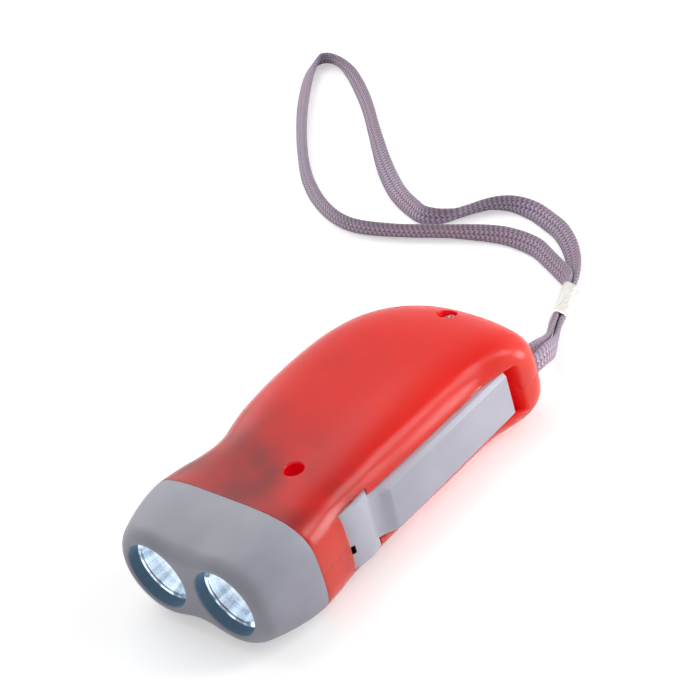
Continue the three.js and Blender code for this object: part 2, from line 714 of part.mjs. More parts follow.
// The second stage: a small pinion and a large gear moulded as one piece.
function idlerGear() {
  const phase = matingPhase(IDLER_DIRECTION, 0, DRIVE_GEAR_TEETH, IDLER_PINION_TEETH);
  const pinion = gearOutline(idlerAxle, DRIVE_MODULE, IDLER_PINION_TEETH, phase);
  const outline = gearOutline(idlerAxle, IDLER_MODULE, IDLER_GEAR_TEETH, 0);
  const rim = pitchRadius(IDLER_MODULE, IDLER_GEAR_TEETH) - DEDENDUM_SHARE * IDLER_MODULE
    - GEAR_RIM;
  const dish = ring(
    idlerAxle,
    rim,
    BOSS_RADIUS,
    IDLER_GEAR_TOP - GEAR_DISHING,
    IDLER_GEAR_TOP + OVERRUN,
  );
  return cut(
    join(
      plate(outline, IDLER_GEAR_BOTTOM, IDLER_GEAR_TOP),
      plate(pinion, DRIVE_GEAR_BOTTOM, IDLER_GEAR_BOTTOM + GEAR_DISHING),
    ),
    dish,
    axleBore(idlerAxle),
  );
}

// The flywheel's pinion, turned by the second stage.
function rotorPinion() {
  const phase = matingPhase(ROTOR_DIRECTION, 0, IDLER_GEAR_TEETH, ROTOR_PINION_TEETH);
  const outline = gearOutline(rotorAxle, IDLER_MODULE, ROTOR_PINION_TEETH, phase);
  return cut(plate(outline, IDLER_GEAR_BOTTOM, FLYWHEEL_BOTTOM), axleBore(rotorAxle));
}

// An upright turned piece: the profile holds [radius, z] pairs.
function turnedUpright(profile, centre, segments = FINE_SEGMENTS) {
  const points = profile.map(([radius, z]) => new THREE.Vector2(radius, z));
  const geometry = new THREE.LatheGeometry(points, segments);
  geometry.rotateX(Math.PI / 2);
  geometry.translate(centre.x, centre.y, 0);
  return solid(facingOut(geometry));
}

// How far the shells' inner face is from a point in plan, at a height over the parting plane.
function roomAround(centre, height) {
  const spineEnd = BEZEL_DEPTH + SPINE_END_SHARE * SHELL_LENGTH;
  const distances = bodyOutline(SHELL_WALL, BEZEL_DEPTH).map((point) => {
    const level = Math.min(height / halfHeightAt(point.y, SHELL_WALL), 1);
    const reach = (1 - level ** SECTION_POWER) ** (1 / SECTION_POWER);
    const spineY = Math.min(point.y, spineEnd);
    const inner = new THREE.Vector2(point.x * reach, spineY + (point.y - spineY) * reach);
    return inner.distanceTo(centre);
  });
  return Math.min(...distances);
}

// The flywheel fills the room up to the shells and up to the idler's axle, less a gap.
const FLYWHEEL_RADIUS = Math.min(
  roomAround(rotorAxle, FLYWHEEL_TOP),
  ROTOR_DISTANCE - AXLE_RADIUS,
) - FLYWHEEL_GAP;
const FLYWHEEL_FLOOR = FLYWHEEL_BOTTOM + FLYWHEEL_WEB;
const MAGNET_OUTER_RADIUS = FLYWHEEL_RADIUS - FLYWHEEL_WALL - SEAT_CLEARANCE;
const STATOR_RADIUS = MAGNET_OUTER_RADIUS - MAGNET_THICKNESS - AIR_GAP;
const CLAW_WIDTH = CLAW_FILL_SHARE * Math.PI * STATOR_RADIUS / CLAW_COUNT;
const BOBBIN_FLANGE_RADIUS = STATOR_RADIUS - CLAW_THICKNESS - BOBBIN_CLAW_GAP;
const BOBBIN_CORE_RADIUS = THREE.MathUtils.lerp(
  STATOR_BORE_RADIUS,
  BOBBIN_FLANGE_RADIUS,
  BOBBIN_CORE_SHARE,
);

// The heavy cup that carries the ring magnet round the coil.
function flywheel() {
  const inner = FLYWHEEL_RADIUS - FLYWHEEL_WALL;
  const hubTop = FLYWHEEL_FLOOR + FLYWHEEL_HUB_HEIGHT;
  return turnedUpright([
    [AXLE_BORE_RADIUS, FLYWHEEL_BOTTOM],
    [FLYWHEEL_RADIUS, FLYWHEEL_BOTTOM],
    [FLYWHEEL_RADIUS, FLYWHEEL_TOP],
    [inner, FLYWHEEL_TOP],
    [inner, FLYWHEEL_FLOOR],
    [FLYWHEEL_HUB_RADIUS, FLYWHEEL_FLOOR],
    [FLYWHEEL_HUB_RADIUS, hubTop],
    [AXLE_BORE_RADIUS, hubTop],
    [AXLE_BORE_RADIUS, FLYWHEEL_BOTTOM],
  ], rotorAxle);
}

// The ring magnet inside the flywheel's rim.
function rotorMagnet() {
  return ring(
    rotorAxle,
    MAGNET_OUTER_RADIUS,
    MAGNET_OUTER_RADIUS - MAGNET_THICKNESS,
    FLYWHEEL_FLOOR,
    FLYWHEEL_TOP - MAGNET_MARGIN,
    FINE_SEGMENTS,
  );
}

// One stator plate: a disc whose claws stand along the magnet. side is 1 on the lower plate.
function statorClaws(side) {
  const bottom = side > 0 ? STATOR_BOTTOM : STATOR_TOP - CLAW_THICKNESS;
  const clawLow = side > 0 ? STATOR_BOTTOM : STATOR_BOTTOM + CLAW_THICKNESS;
  const clawHigh = side > 0 ? STATOR_TOP - CLAW_THICKNESS : STATOR_TOP;
  const claws = [];
  for (let i = 0; i < CLAW_COUNT; i += 1) {
    const turn = (i + (side > 0 ? 0 : 1 / 2)) * 2 * Math.PI / CLAW_COUNT;
    const arm = new THREE.BoxGeometry(STATOR_RADIUS, CLAW_WIDTH, CLAW_THICKNESS);
    arm.translate(STATOR_RADIUS / 2, 0, bottom + CLAW_THICKNESS / 2);
    const claw = new THREE.BoxGeometry(CLAW_THICKNESS, CLAW_WIDTH, clawHigh - clawLow);
    claw.translate(STATOR_RADIUS - CLAW_THICKNESS / 2, 0, (clawLow + clawHigh) / 2);
    for (const piece of [arm, claw]) {
      piece.rotateZ(turn);
      piece.translate(rotorAxle.x, rotorAxle.y, 0);
      claws.push(solid(piece));
    }
  }
  const middle = disc(rotorAxle, BOBBIN_FLANGE_RADIUS, bottom, bottom + CLAW_THICKNESS);
  const bore = disc(rotorAxle, STATOR_BORE_RADIUS, -BODY_HALF_HEIGHT, BODY_HALF_HEIGHT);
  const limit = disc(rotorAxle, STATOR_RADIUS, STATOR_BOTTOM, STATOR_TOP, FINE_SEGMENTS);
  return cut(join(middle, ...claws), bore).intersect(limit);
}

const BOBBIN_BOTTOM = STATOR_BOTTOM + CLAW_THICKNESS;
const BOBBIN_TOP = STATOR_TOP - CLAW_THICKNESS;

// The bobbin between the stator plates.
function coilBobbin() {
  const low = BOBBIN_BOTTOM + BOBBIN_FLANGE;
  const high = BOBBIN_TOP - BOBBIN_FLANGE;
  return turnedUpright([
    [STATOR_BORE_RADIUS, BOBBIN_BOTTOM],
    [BOBBIN_FLANGE_RADIUS, BOBBIN_BOTTOM],
    [BOBBIN_FLANGE_RADIUS, low],
    [BOBBIN_CORE_RADIUS, low],
    [BOBBIN_CORE_RADIUS, high],
    [BOBBIN_FLANGE_RADIUS, high],
    [BOBBIN_FLANGE_RADIUS, BOBBIN_TOP],
    [STATOR_BORE_RADIUS, BOBBIN_TOP],
    [STATOR_BORE_RADIUS, BOBBIN_BOTTOM],
  ], rotorAxle, ROUND_SEGMENTS);
}

// The packed copper winding on the bobbin.
function coilWinding() {
  const margin = BOBBIN_FLANGE + SEAT_CLEARANCE;
  return ring(
    rotorAxle,
    BOBBIN_FLANGE_RADIUS - BOBBIN_FLANGE,
    BOBBIN_CORE_RADIUS + SEAT_CLEARANCE,
    BOBBIN_BOTTOM + margin,
    BOBBIN_TOP - margin,
  );
}

const LEVER_STATIONS = [
  [PIVOT_Y, VALLEY_X], [VALLEY_Y, VALLEY_X], [CREASE_Y, CREASE_X], [LEVER_END_Y, LEVER_END_X],
];

// The lever arm's form through its stations, with its outer edges chamfered.
function leverArm() {
  const rings = LEVER_STATIONS.map(([y, face]) => [
    [LEVER_BACK_X, -LEVER_HALF_HEIGHT],
    [face - LEVER_CHAMFER, -LEVER_HALF_HEIGHT],
    [face, -LEVER_FACE_HALF_HEIGHT],
    [face, LEVER_FACE_HALF_HEIGHT],
    [face - LEVER_CHAMFER, LEVER_HALF_HEIGHT],
    [LEVER_BACK_X, LEVER_HALF_HEIGHT],
  ].map(([x, z]) => new THREE.Vector3(x, y, z)));
  return solid(loft(rings, (point) => new THREE.Vector2(point.x, point.z)));
}

// The hollow behind the arm's face, open towards the body.
function leverHollow() {
  const height = LEVER_HALF_HEIGHT - LEVER_FLANGE;
  const ends = [[CREASE_Y, CREASE_X], [LEVER_END_Y - LEVER_SKIN, LEVER_END_X]];
  const rings = ends.map(([y, face]) => [
    [LEVER_BACK_X - OVERRUN, -height],
    [face - LEVER_SKIN - LEVER_CHAMFER / 2, -height],
    [face - LEVER_SKIN, -height + LEVER_CHAMFER / 2],
    [face - LEVER_SKIN, height - LEVER_CHAMFER / 2],
    [face - LEVER_SKIN - LEVER_CHAMFER / 2, height],
    [LEVER_BACK_X - OVERRUN, height],
  ].map(([x, z]) => new THREE.Vector3(x, y, z)));
  return solid(loft(rings, (point) => new THREE.Vector2(point.x, point.z)));
}

// The space that the lock's tongue slides in, up to a given side and end.
function tongueChannel(sideX, endY) {
  const low = LOCK_TONGUE_X - LOCK_TONGUE_WIDTH / 2 - RUN_CLEARANCE;
  const halfHeight = LOCK_TONGUE_HEIGHT / 2 + RUN_CLEARANCE;
  return block(
    [low, BEZEL_DEPTH + SPIGOT_LENGTH, LOCK_TONGUE_Z - halfHeight],
    [sideX, endY, LOCK_TONGUE_Z + halfHeight],
  );
}

const SECTOR_TOP = SECTOR_BOTTOM + SECTOR_THICKNESS;
const SECTOR_START = DRIVE_DIRECTION - radians(SECTOR_MARGIN_DEGREES);
const SECTOR_END = DRIVE_DIRECTION + radians(LEVER_OPEN_DEGREES + SECTOR_MARGIN_DEGREES);

// A pie slice about the lever's pivot, as plan points.
function slice(radius, start, end, count) {
  const points = [pivot.clone()];
  for (let i = 0; i <= count; i += 1) {
    points.push(stepFrom(pivot, start + (end - start) * i / count, radius));
  }
  return points;
}

// The room that the toothed sector takes in the lever's hub.
function sectorSeat() {
  const gap = SEAT_CLEARANCE / SECTOR_HUB_RADIUS;
  const top = SECTOR_TOP + SEAT_CLEARANCE;
  const reach = HUB_RADIUS + OVERRUN;
  return join(
    disc(pivot, SECTOR_HUB_RADIUS + SEAT_CLEARANCE, -BODY_HALF_HEIGHT, top),
    plate(
      slice(reach, SECTOR_START - gap, SECTOR_END + gap, SECTOR_SEAT_STEPS),
      -BODY_HALF_HEIGHT,
      top,
    ),
  );
}

// The squeeze lever: a hollow arm on a round hub whose outside is a flatter knuckle.
function squeezeLever() {
  const knuckleCentre = new THREE.Vector2(PIVOT_X + KNUCKLE_REACH - KNUCKLE_RADIUS, PIVOT_Y);
  const hub = disc(pivot, HUB_RADIUS, -HUB_HALF_HEIGHT, HUB_HALF_HEIGHT, FINE_SEGMENTS)
    .intersect(disc(
      knuckleCentre,
      KNUCKLE_RADIUS,
      -HUB_HALF_HEIGHT,
      HUB_HALF_HEIGHT,
      2 * FINE_SEGMENTS,
    ));
  const bore = disc(
    pivot,
    PIVOT_PIN_RADIUS + RUN_CLEARANCE,
    -BODY_HALF_HEIGHT,
    BODY_HALF_HEIGHT,
  );
  const springPocket = disc(
    pivot,
    SPRING_POCKET_RADIUS,
    SPRING_BOTTOM - SEAT_CLEARANCE,
    BODY_HALF_HEIGHT,
  );
  return cut(
    join(leverArm(), hub),
    leverHollow(),
    sectorSeat(),
    springPocket,
    bore,
    tongueChannel(BODY_HALF_WIDTH, LOCK_TONGUE_TIP_Y + LOCK_NOTCH_LENGTH),
  );
}

// The toothed sector: a hub ring, a windowed web and a toothed rim.
function sectorGear() {
  const pitch = 2 * Math.PI / SECTOR_TEETH;
  const root = SECTOR_RADIUS - DEDENDUM_SHARE * SECTOR_MODULE;
  const before = Math.floor((DRIVE_DIRECTION - SECTOR_START) / pitch);
  const after = Math.floor((SECTOR_END - DRIVE_DIRECTION) / pitch);
  const rim = [pivot.clone(), stepFrom(pivot, SECTOR_START, root)];
  for (let i = 1 - before; i < after; i += 1) {
    rim.push(...toothOutline(
      pivot,
      SECTOR_RADIUS,
      SECTOR_MODULE,
      DRIVE_DIRECTION + i * pitch,
      pitch,
    ));
  }
  rim.push(stepFrom(pivot, SECTOR_END, root));
  const spoke = radians(SECTOR_SPOKE_DEGREES);
  const windowOutline = slice(
    root - SECTOR_RIM,
    SECTOR_START + spoke,
    SECTOR_END - spoke,
    SECTOR_WINDOW_STEPS,
  );
  const window = cut(
    plate(windowOutline, SECTOR_BOTTOM - OVERRUN, SECTOR_TOP + OVERRUN),
    disc(pivot, SECTOR_WINDOW_START, SECTOR_BOTTOM - OVERRUN, SECTOR_TOP + OVERRUN),
  );
  const hub = disc(pivot, SECTOR_HUB_RADIUS, SECTOR_BOTTOM, SECTOR_TOP);
  const bore = disc(
    pivot,
    PIVOT_PIN_RADIUS + RUN_CLEARANCE,
    -BODY_HALF_HEIGHT,
    BODY_HALF_HEIGHT,
  );
  return cut(join(plate(rim, SECTOR_BOTTOM, SECTOR_TOP), hub), window, bore);
}

// A helix about the lever's pivot.
class SpringCurve extends THREE.Curve {
  getPoint(share, target = new THREE.Vector3()) {
    const angle = share * SPRING_TURNS * 2 * Math.PI;
    return target.set(
      PIVOT_X + SPRING_RADIUS * Math.cos(angle),
      PIVOT_Y + SPRING_RADIUS * Math.sin(angle),
      SPRING_BOTTOM + SPRING_WIRE_RADIUS + share * (SPRING_HEIGHT - 2 * SPRING_WIRE_RADIUS),
    );
  }
}

// A round section for an extruded tube.
function roundSection(radius, sides) {
  const points = [];
  for (let i = 0; i < sides; i += 1) {
    const angle = i * 2 * Math.PI / sides;
    points.push(new THREE.Vector2(radius * Math.cos(angle), radius * Math.sin(angle)));
  }
  return new THREE.Shape(points);
}

// A tube of a section along a curve.
function tube(section, curve, steps) {
  return facingOut(new THREE.ExtrudeGeometry(section, { steps, extrudePath: curve }));
}

// The coil spring round the pivot pin that opens the lever.
function leverReturnSpring() {
  const section = roundSection(SPRING_WIRE_RADIUS, WIRE_SIDES);
  return solid(tube(section, new SpringCurve(), SPRING_TURNS * SPRING_STEPS_PER_TURN));
}

// The lock: a ribbed button on the underside, an arm inside the shell and a small tongue.
const BUTTON_FACE_Z = REST_Z + LOCK_RIB_HEIGHT + SEAT_CLEARANCE;
const LOCK_PLATE_BOTTOM = SHELL_WALL - BODY_HALF_HEIGHT + LOCK_PLATE_GAP;
const LOCK_PLATE_TOP = LOCK_PLATE_BOTTOM + LOCK_PLATE_THICKNESS;
const LOCK_TONGUE_TOP = LOCK_TONGUE_Z + LOCK_TONGUE_HEIGHT / 2;
const LOCK_TONGUE_BOTTOM = LOCK_TONGUE_Z - LOCK_TONGUE_HEIGHT / 2;

// The lock slider in one piece.
function lockSlider() {
  const halfWidth = LOCK_BUTTON_WIDTH / 2;
  const halfLength = LOCK_BUTTON_LENGTH / 2;
  const button = block(
    [LOCK_BUTTON_X - halfWidth, LOCK_BUTTON_Y - halfLength, BUTTON_FACE_Z],
    [LOCK_BUTTON_X + halfWidth, LOCK_BUTTON_Y + halfLength, LOCK_PLATE_TOP],
  );
  const ribs = [];
  for (let i = 0; i < LOCK_RIB_COUNT; i += 1) {
    const share = (i + 1 / 2) / LOCK_RIB_COUNT;
    const y = LOCK_BUTTON_Y - halfLength + share * LOCK_BUTTON_LENGTH;
    ribs.push(block(
      [LOCK_BUTTON_X - halfWidth, y - LOCK_RIB_WIDTH / 2, BUTTON_FACE_Z - LOCK_RIB_HEIGHT],
      [LOCK_BUTTON_X + halfWidth, y + LOCK_RIB_WIDTH / 2, BUTTON_FACE_Z + LOCK_RIB_HEIGHT],
    ));
  }
  const flange = block(
    [
      LOCK_BUTTON_X - halfWidth - LOCK_PLATE_MARGIN,
      LOCK_ARM_Y - LOCK_ARM_WIDTH / 2,
      LOCK_PLATE_BOTTOM,
    ],
    [LOCK_RISER_X + LOCK_RISER_WIDTH / 2, LOCK_BUTTON_Y + halfLength, LOCK_PLATE_TOP],
  );
  const riser = block(
    [
      LOCK_RISER_X - LOCK_RISER_WIDTH / 2,
      LOCK_ARM_Y - LOCK_ARM_WIDTH / 2,
      LOCK_PLATE_BOTTOM,
    ],
    [
      LOCK_RISER_X + LOCK_RISER_WIDTH / 2,
      LOCK_ARM_Y + LOCK_ARM_WIDTH / 2,
      LOCK_TONGUE_TOP,
    ],
  );
  const arm = block(
    [LOCK_RISER_X, LOCK_ARM_Y - LOCK_ARM_WIDTH / 2, LOCK_TONGUE_BOTTOM],
    [
      LOCK_TONGUE_X + LOCK_TONGUE_WIDTH / 2,
      LOCK_ARM_Y + LOCK_ARM_WIDTH / 2,
      LOCK_TONGUE_TOP,
    ],
  );
  const tongue = block(
    [LOCK_TONGUE_X - LOCK_TONGUE_WIDTH / 2, LOCK_ARM_Y, LOCK_TONGUE_BOTTOM],
    [LOCK_TONGUE_X + LOCK_TONGUE_WIDTH / 2, LOCK_TONGUE_TIP_Y, LOCK_TONGUE_TOP],
  );
  return join(button, ...ribs, flange, riser, arm, tongue);
}

// The window in the lower shell that the lock's button slides in.
function lockWindow() {
  const halfWidth = LOCK_BUTTON_WIDTH / 2 + RUN_CLEARANCE;
  const halfLength = LOCK_BUTTON_LENGTH / 2 + RUN_CLEARANCE;
  return block(
    [LOCK_BUTTON_X - halfWidth, LOCK_BUTTON_Y - halfLength, -BODY_HALF_HEIGHT - OVERRUN],
    [
      LOCK_BUTTON_X + halfWidth,
      LOCK_BUTTON_Y + halfLength + LOCK_TRAVEL,
      LOCK_PLATE_BOTTOM,
    ],
  );
}

// A screw: a slotted head on a plain shank.
function shellScrew(place) {
  const headTop = WELL_FLOOR + SCREW_HEAD_THICKNESS;
  const body = join(
    disc(place, SCREW_HEAD_RADIUS, WELL_FLOOR, headTop),
    disc(place, SCREW_SHANK_RADIUS, headTop - SCREW_LENGTH, WELL_FLOOR + SCREW_SLOT / 2),
  );
  const slots = [[SCREW_HEAD_RADIUS, SCREW_SLOT / 2], [SCREW_SLOT / 2, SCREW_HEAD_RADIUS]];
  const cuts = slots.map(([reachX, reachY]) => block(
    [place.x - reachX / 2 - SCREW_SLOT / 2, place.y - reachY / 2 - SCREW_SLOT / 2,
      headTop - SCREW_SLOT],
    [place.x + reachX / 2 + SCREW_SLOT / 2, place.y + reachY / 2 + SCREW_SLOT / 2,
      headTop + OVERRUN],
  ));
  return cut(body, ...cuts);
}

// The opening in both shells for the lever: taller at its hub, and round inside in front of it.
function leverOpening() {
  const cutRadius = HUB_RADIUS + RUN_CLEARANCE;
  const hub = disc(
    pivot,
    cutRadius,
    -HUB_CUT_HALF_HEIGHT,
    HUB_CUT_HALF_HEIGHT,
    FINE_SEGMENTS,
  );
  const outside = BODY_HALF_WIDTH + OVERRUN;
  const inside = LEVER_BACK_X - RUN_CLEARANCE;
  return join(
    hub,
    block(
      [
        BODY_HALF_WIDTH - OPENING_FRONT_INSET,
        PIVOT_Y - OPENING_FRONT_GAP,
        -HUB_CUT_HALF_HEIGHT,
      ],
      [outside, PIVOT_Y + OVERRUN, HUB_CUT_HALF_HEIGHT],
    ),
    block(
      [inside, PIVOT_Y, -HUB_CUT_HALF_HEIGHT],
      [outside, VALLEY_Y, HUB_CUT_HALF_HEIGHT],
    ),
    block(
      [inside, PIVOT_Y, -LEVER_CUT_HALF_HEIGHT],
      [outside, RECESS_END_Y, LEVER_CUT_HALF_HEIGHT],
    ),
  );
}

// The opening in the tail that the strap is threaded through.
function strapOpening() {
  return block(
    [
      strapPost.x - STRAP_SLOT_HALF_WIDTH,
      strapPost.y - STRAP_SLOT_HALF_WIDTH,
      -STRAP_SLOT_HALF_HEIGHT,
    ],
    [strapPost.x + STRAP_SLOT_HALF_WIDTH, BODY_LENGTH + OVERRUN, STRAP_SLOT_HALF_HEIGHT],
  );
}

const UPPER_AXLE_BOSSES = [
  [driveAxle, BOSS_RADIUS, IDLER_GEAR_TOP + RUN_CLEARANCE],
  [idlerAxle, BOSS_RADIUS, FLYWHEEL_TOP + RUN_CLEARANCE],
  [rotorAxle, STATOR_BOSS_RADIUS, STATOR_TOP],
];
const LOWER_AXLE_BOSSES = [
  [driveAxle, BOSS_RADIUS, SECTOR_BOTTOM - RUN_CLEARANCE],
  [idlerAxle, BOSS_RADIUS, DRIVE_GEAR_BOTTOM - RUN_CLEARANCE],
  [rotorAxle, BOSS_RADIUS, IDLER_GEAR_BOTTOM - RUN_CLEARANCE],
];

// The socket that an axle pin's end sits in.
function axleSocket(centre, side, face) {
  const end = face + side * BOSS_SOCKET;
  return disc(
    centre,
    AXLE_RADIUS + SEAT_CLEARANCE,
    Math.min(face - side * OVERRUN, end),
    Math.max(face - side * OVERRUN, end),
    PIN_SEGMENTS,
  );
}

// One shell half: its skin, its end wall behind the lever and its bosses, trimmed to its form.
function shellBlank(side, bosses) {
  const outer = halfBody(side, 0, BEZEL_DEPTH, PARTING_GAP / 2);
  const hollow = halfBody(side, SHELL_WALL, BEZEL_DEPTH - OVERRUN, -OVERRUN);
  const wall = block(
    [CREASE_X - RECESS_WALL_DEPTH, RECESS_END_Y, -BODY_HALF_HEIGHT],
    [BODY_HALF_WIDTH, RECESS_END_Y + RECESS_END_WALL, BODY_HALF_HEIGHT],
  );
  const skin = outer.subtract(hollow);
  return join(skin, ...[wall, ...bosses].map((inner) => inner.intersect(outer)));
}

const upTo = (side, centre, radius, face) => disc(
  centre,
  radius,
  side > 0 ? face : -BODY_HALF_HEIGHT,
  side > 0 ? BODY_HALF_HEIGHT : face,
);

// The upper shell, with its screw wells.
function upperShell() {
  const bosses = [
    upTo(1, pivot, PIVOT_BOSS_RADIUS, HUB_CUT_HALF_HEIGHT),
    upTo(1, strapPost, STRAP_POST_RADIUS, PARTING_GAP / 2),
    ...UPPER_AXLE_BOSSES.map(([centre, radius, face]) => upTo(1, centre, radius, face)),
    ...screwPlaces.map((place) => upTo(1, place, POST_RADIUS, PARTING_GAP / 2)),
  ];
  const openings = [
    leverOpening(),
    cut(strapOpening(), disc(strapPost, STRAP_POST_RADIUS, -BODY_HALF_HEIGHT, BODY_HALF_HEIGHT)),
    disc(
      pivot,
      PIVOT_PIN_RADIUS + SEAT_CLEARANCE,
      0,
      PIVOT_PIN_HALF_LENGTH + SEAT_CLEARANCE,
    ),
    ...UPPER_AXLE_BOSSES.map(([centre, , face]) => axleSocket(centre, 1, face)),
    ...screwPlaces.map((place) => disc(place, WELL_RADIUS, WELL_FLOOR, BODY_HALF_HEIGHT)),
    ...screwPlaces.map((place) => (
      disc(place, SCREW_SHANK_RADIUS + SEAT_CLEARANCE, -OVERRUN, WELL_FLOOR + OVERRUN)
    )),
  ];
  return cut(shellBlank(1, bosses), ...openings);
}

// The lower shell, with its rest flat, the lock's window and the screws' blind posts.
function lowerShell() {
  const bosses = [
    upTo(-1, pivot, PIVOT_BOSS_RADIUS, -HUB_CUT_HALF_HEIGHT),
    upTo(-1, strapPost, STRAP_POST_RADIUS, -PARTING_GAP / 2),
    ...LOWER_AXLE_BOSSES.map(([centre, radius, face]) => upTo(-1, centre, radius, face)),
    ...screwPlaces.map((place) => upTo(-1, place, LOWER_POST_RADIUS, -PARTING_GAP / 2)),
  ];
  const screwEnd = WELL_FLOOR + SCREW_HEAD_THICKNESS - SCREW_LENGTH - SEAT_CLEARANCE;
  const openings = [
    leverOpening(),
    cut(strapOpening(), disc(strapPost, STRAP_POST_RADIUS, -BODY_HALF_HEIGHT, BODY_HALF_HEIGHT)),
    disc(
      pivot,
      PIVOT_PIN_RADIUS + SEAT_CLEARANCE,
      -PIVOT_PIN_HALF_LENGTH - SEAT_CLEARANCE,
      0,
    ),
    ...LOWER_AXLE_BOSSES.map(([centre, , face]) => axleSocket(centre, -1, face)),
    ...screwPlaces.map((place) => (
      disc(place, SCREW_SHANK_RADIUS + SEAT_CLEARANCE, screwEnd, OVERRUN)
    )),
    tongueChannel(LOCK_TONGUE_X + LOCK_TONGUE_WIDTH / 2 + RUN_CLEARANCE, PIVOT_Y),
    lockWindow(),
    belowRest(),
  ];
  return cut(shellBlank(-1, bosses), ...openings);
}

// An axle pin between the sockets of its two bosses.
function axlePin(index) {
  const [centre, , low] = LOWER_AXLE_BOSSES[index];
  const [, , high] = UPPER_AXLE_BOSSES[index];
  const reach = BOSS_SOCKET - SEAT_CLEARANCE;
  return disc(centre, AXLE_RADIUS, low - reach, high + reach, PIN_SEGMENTS);
}

// The pin that the lever turns on.
function leverPivotPin() {
  return disc(pivot, PIVOT_PIN_RADIUS, -PIVOT_PIN_HALF_LENGTH, PIVOT_PIN_HALF_LENGTH, PIN_SEGMENTS);
}

// The two wires from the coil to the board. Each point on the pair's middle line is
// [share of the way across, share of the way along, share of the shells' inner height].
const LEAD_SHARES = [
  [-0.071, 0.109, 0.805], [-0.093, 0.174, 0.875], [-0.127, 0.25, 0.844], [-0.15, 0.401, 0.672],
  [0.021, 0.564, 0.5], [0.34, 0.69, 0.406], [0.772, 0.823, 0.344], [0.966, 0.917, 0.313],
  [1, 0.989, 0.313],
];

// One wire of the pair: side is -1 or 1 across the middle line.
function coilLead(side) {
  const points = LEAD_SHARES.map(([across, along, up]) => new THREE.Vector3(
    THREE.MathUtils.lerp(rotorAxle.x, LEAD_END_X, across) + side * LEAD_SPACING / 2,
    THREE.MathUtils.lerp(rotorAxle.y, BOARD_BACK, along),
    up * ROOF_HEIGHT,
  ));
  const section = roundSection(LEAD_RADIUS, WIRE_SIDES);
  return tube(section, new THREE.CatmullRomCurve3(points), LEAD_SEGMENTS);
}

// Wrist strap. Each point is [x, y, z, tilt], with the tilt of the strap's width from the level
// in degrees. The tether goes from the crimp to the post and back, the loop from the crimp out
// and back, and both strands of a pair lie a spread to each side of the given line.
const TETHER_POINTS = [
  [7.5, 130.8, -10.4, 122, 0.85], [9.4, 127.2, -10.2, 120, 0.9], [12.4, 122.6, -9.2, 112, 1.1],
  [16, 117.4, -6.4, 102, 1.4], [19.2, 112.4, -3, 94, 1.8], [21, 107.8, -0.8, 90, 2.1],
];
const LOOP_POINTS = [
  [1.4, 144.3, -10.4, 58], [-0.7, 149.8, -10.9, 54], [-3.6, 153.5, -11.4, 44],
  [-7.2, 157.7, -12, 38], [-12.7, 163.2, -12.1, 36], [-19.9, 168.5, -12.2, 34],
  [-26.4, 171.5, -12.3, 29], [-32.6, 173.5, -11.9, 42], [-37.9, 173.9, -11.4, 68],
  [-43.2, 173.4, -11.3, 95], [-48, 171.3, -11.4, 114], [-51.6, 167.9, -11.6, 122],
  [-54.4, 164.2, -11.5, 120], [-57.9, 161.3, -11.3, 96], [-62.8, 160.2, -11.4, 65],
  [-70.2, 163, -12.2, 34], [-79.3, 167.6, -12.6, 20], [-88, 173.5, -12.6, 20],
  [-96.1, 179.9, -12.2, 31], [-109.7, 191.9, -11.8, 47], [-121.5, 202.5, -11.7, 50],
  [-131, 210.1, -11.7, 52], [-139.6, 216.1, -11.5, 62], [-145.6, 219.4, -11.3, 81],
  [-150.9, 221.6, -11.3, 100], [-155.1, 222.4, -11.4, 112], [-157.9, 221.4, -11.5, 121],
  [-158.4, 218.5, -11.8, 134], [-157.1, 215, -12.1, 143], [-155.4, 212, -12.1, 144],
  [-152.2, 207.2, -12.1, 145], [-144.8, 197.3, -12.1, 144], [-134.9, 185.7, -11.9, 136],
  [-124.8, 175, -11.7, 130], [-114.6, 165.3, -11.7, 128], [-104.3, 157.6, -11.5, 121],
  [-94.1, 151.9, -11.3, 107], [-85.6, 149, -11.3, 93], [-78.2, 148.4, -11.3, 83],
  [-64.5, 151.2, -11.3, 74], [-49.8, 156.1, -11.3, 76], [-34.5, 159.8, -11.3, 104],
  [-27.4, 160, -11.6, 124], [-20.6, 158.8, -11.8, 132], [-15.4, 156.3, -11.7, 127],
  [-11.2, 154.1, -11.6, 124], [-6.6, 151.6, -11.4, 124], [-4.1, 150.2, -11.2, 123],
  [-1.6, 148.1, -10.8, 122], [1.4, 144.3, -10.4, 122],
];

// A curve that carries a flat strap: its width follows the tilt given at each point.
class StrapCurve extends THREE.CatmullRomCurve3 {
  constructor(points, tilts) {
    super(points, false, 'centripetal');
    this.tilts = tilts;
  }

  computeFrenetFrames(segments) {
    const frames = { tangents: [], normals: [], binormals: [] };
    for (let i = 0; i <= segments; i += 1) {
      const along = this.getUtoTmapping(i / segments) * (this.tilts.length - 1);
      const low = Math.min(Math.floor(along), this.tilts.length - 2);
      const tilt = THREE.MathUtils.lerp(this.tilts[low], this.tilts[low + 1], along - low);
      const tangent = this.getTangentAt(i / segments);
      const level = tangent.clone().cross(new THREE.Vector3(0, 0, 1)).normalize();
      const up = level.clone().cross(tangent);
      const width = level.multiplyScalar(Math.cos(radians(tilt)))
        .addScaledVector(up, Math.sin(radians(tilt)));
      frames.tangents.push(tangent);
      frames.normals.push(width);
      frames.binormals.push(tangent.clone().cross(width));
    }
    return frames;
  }
}

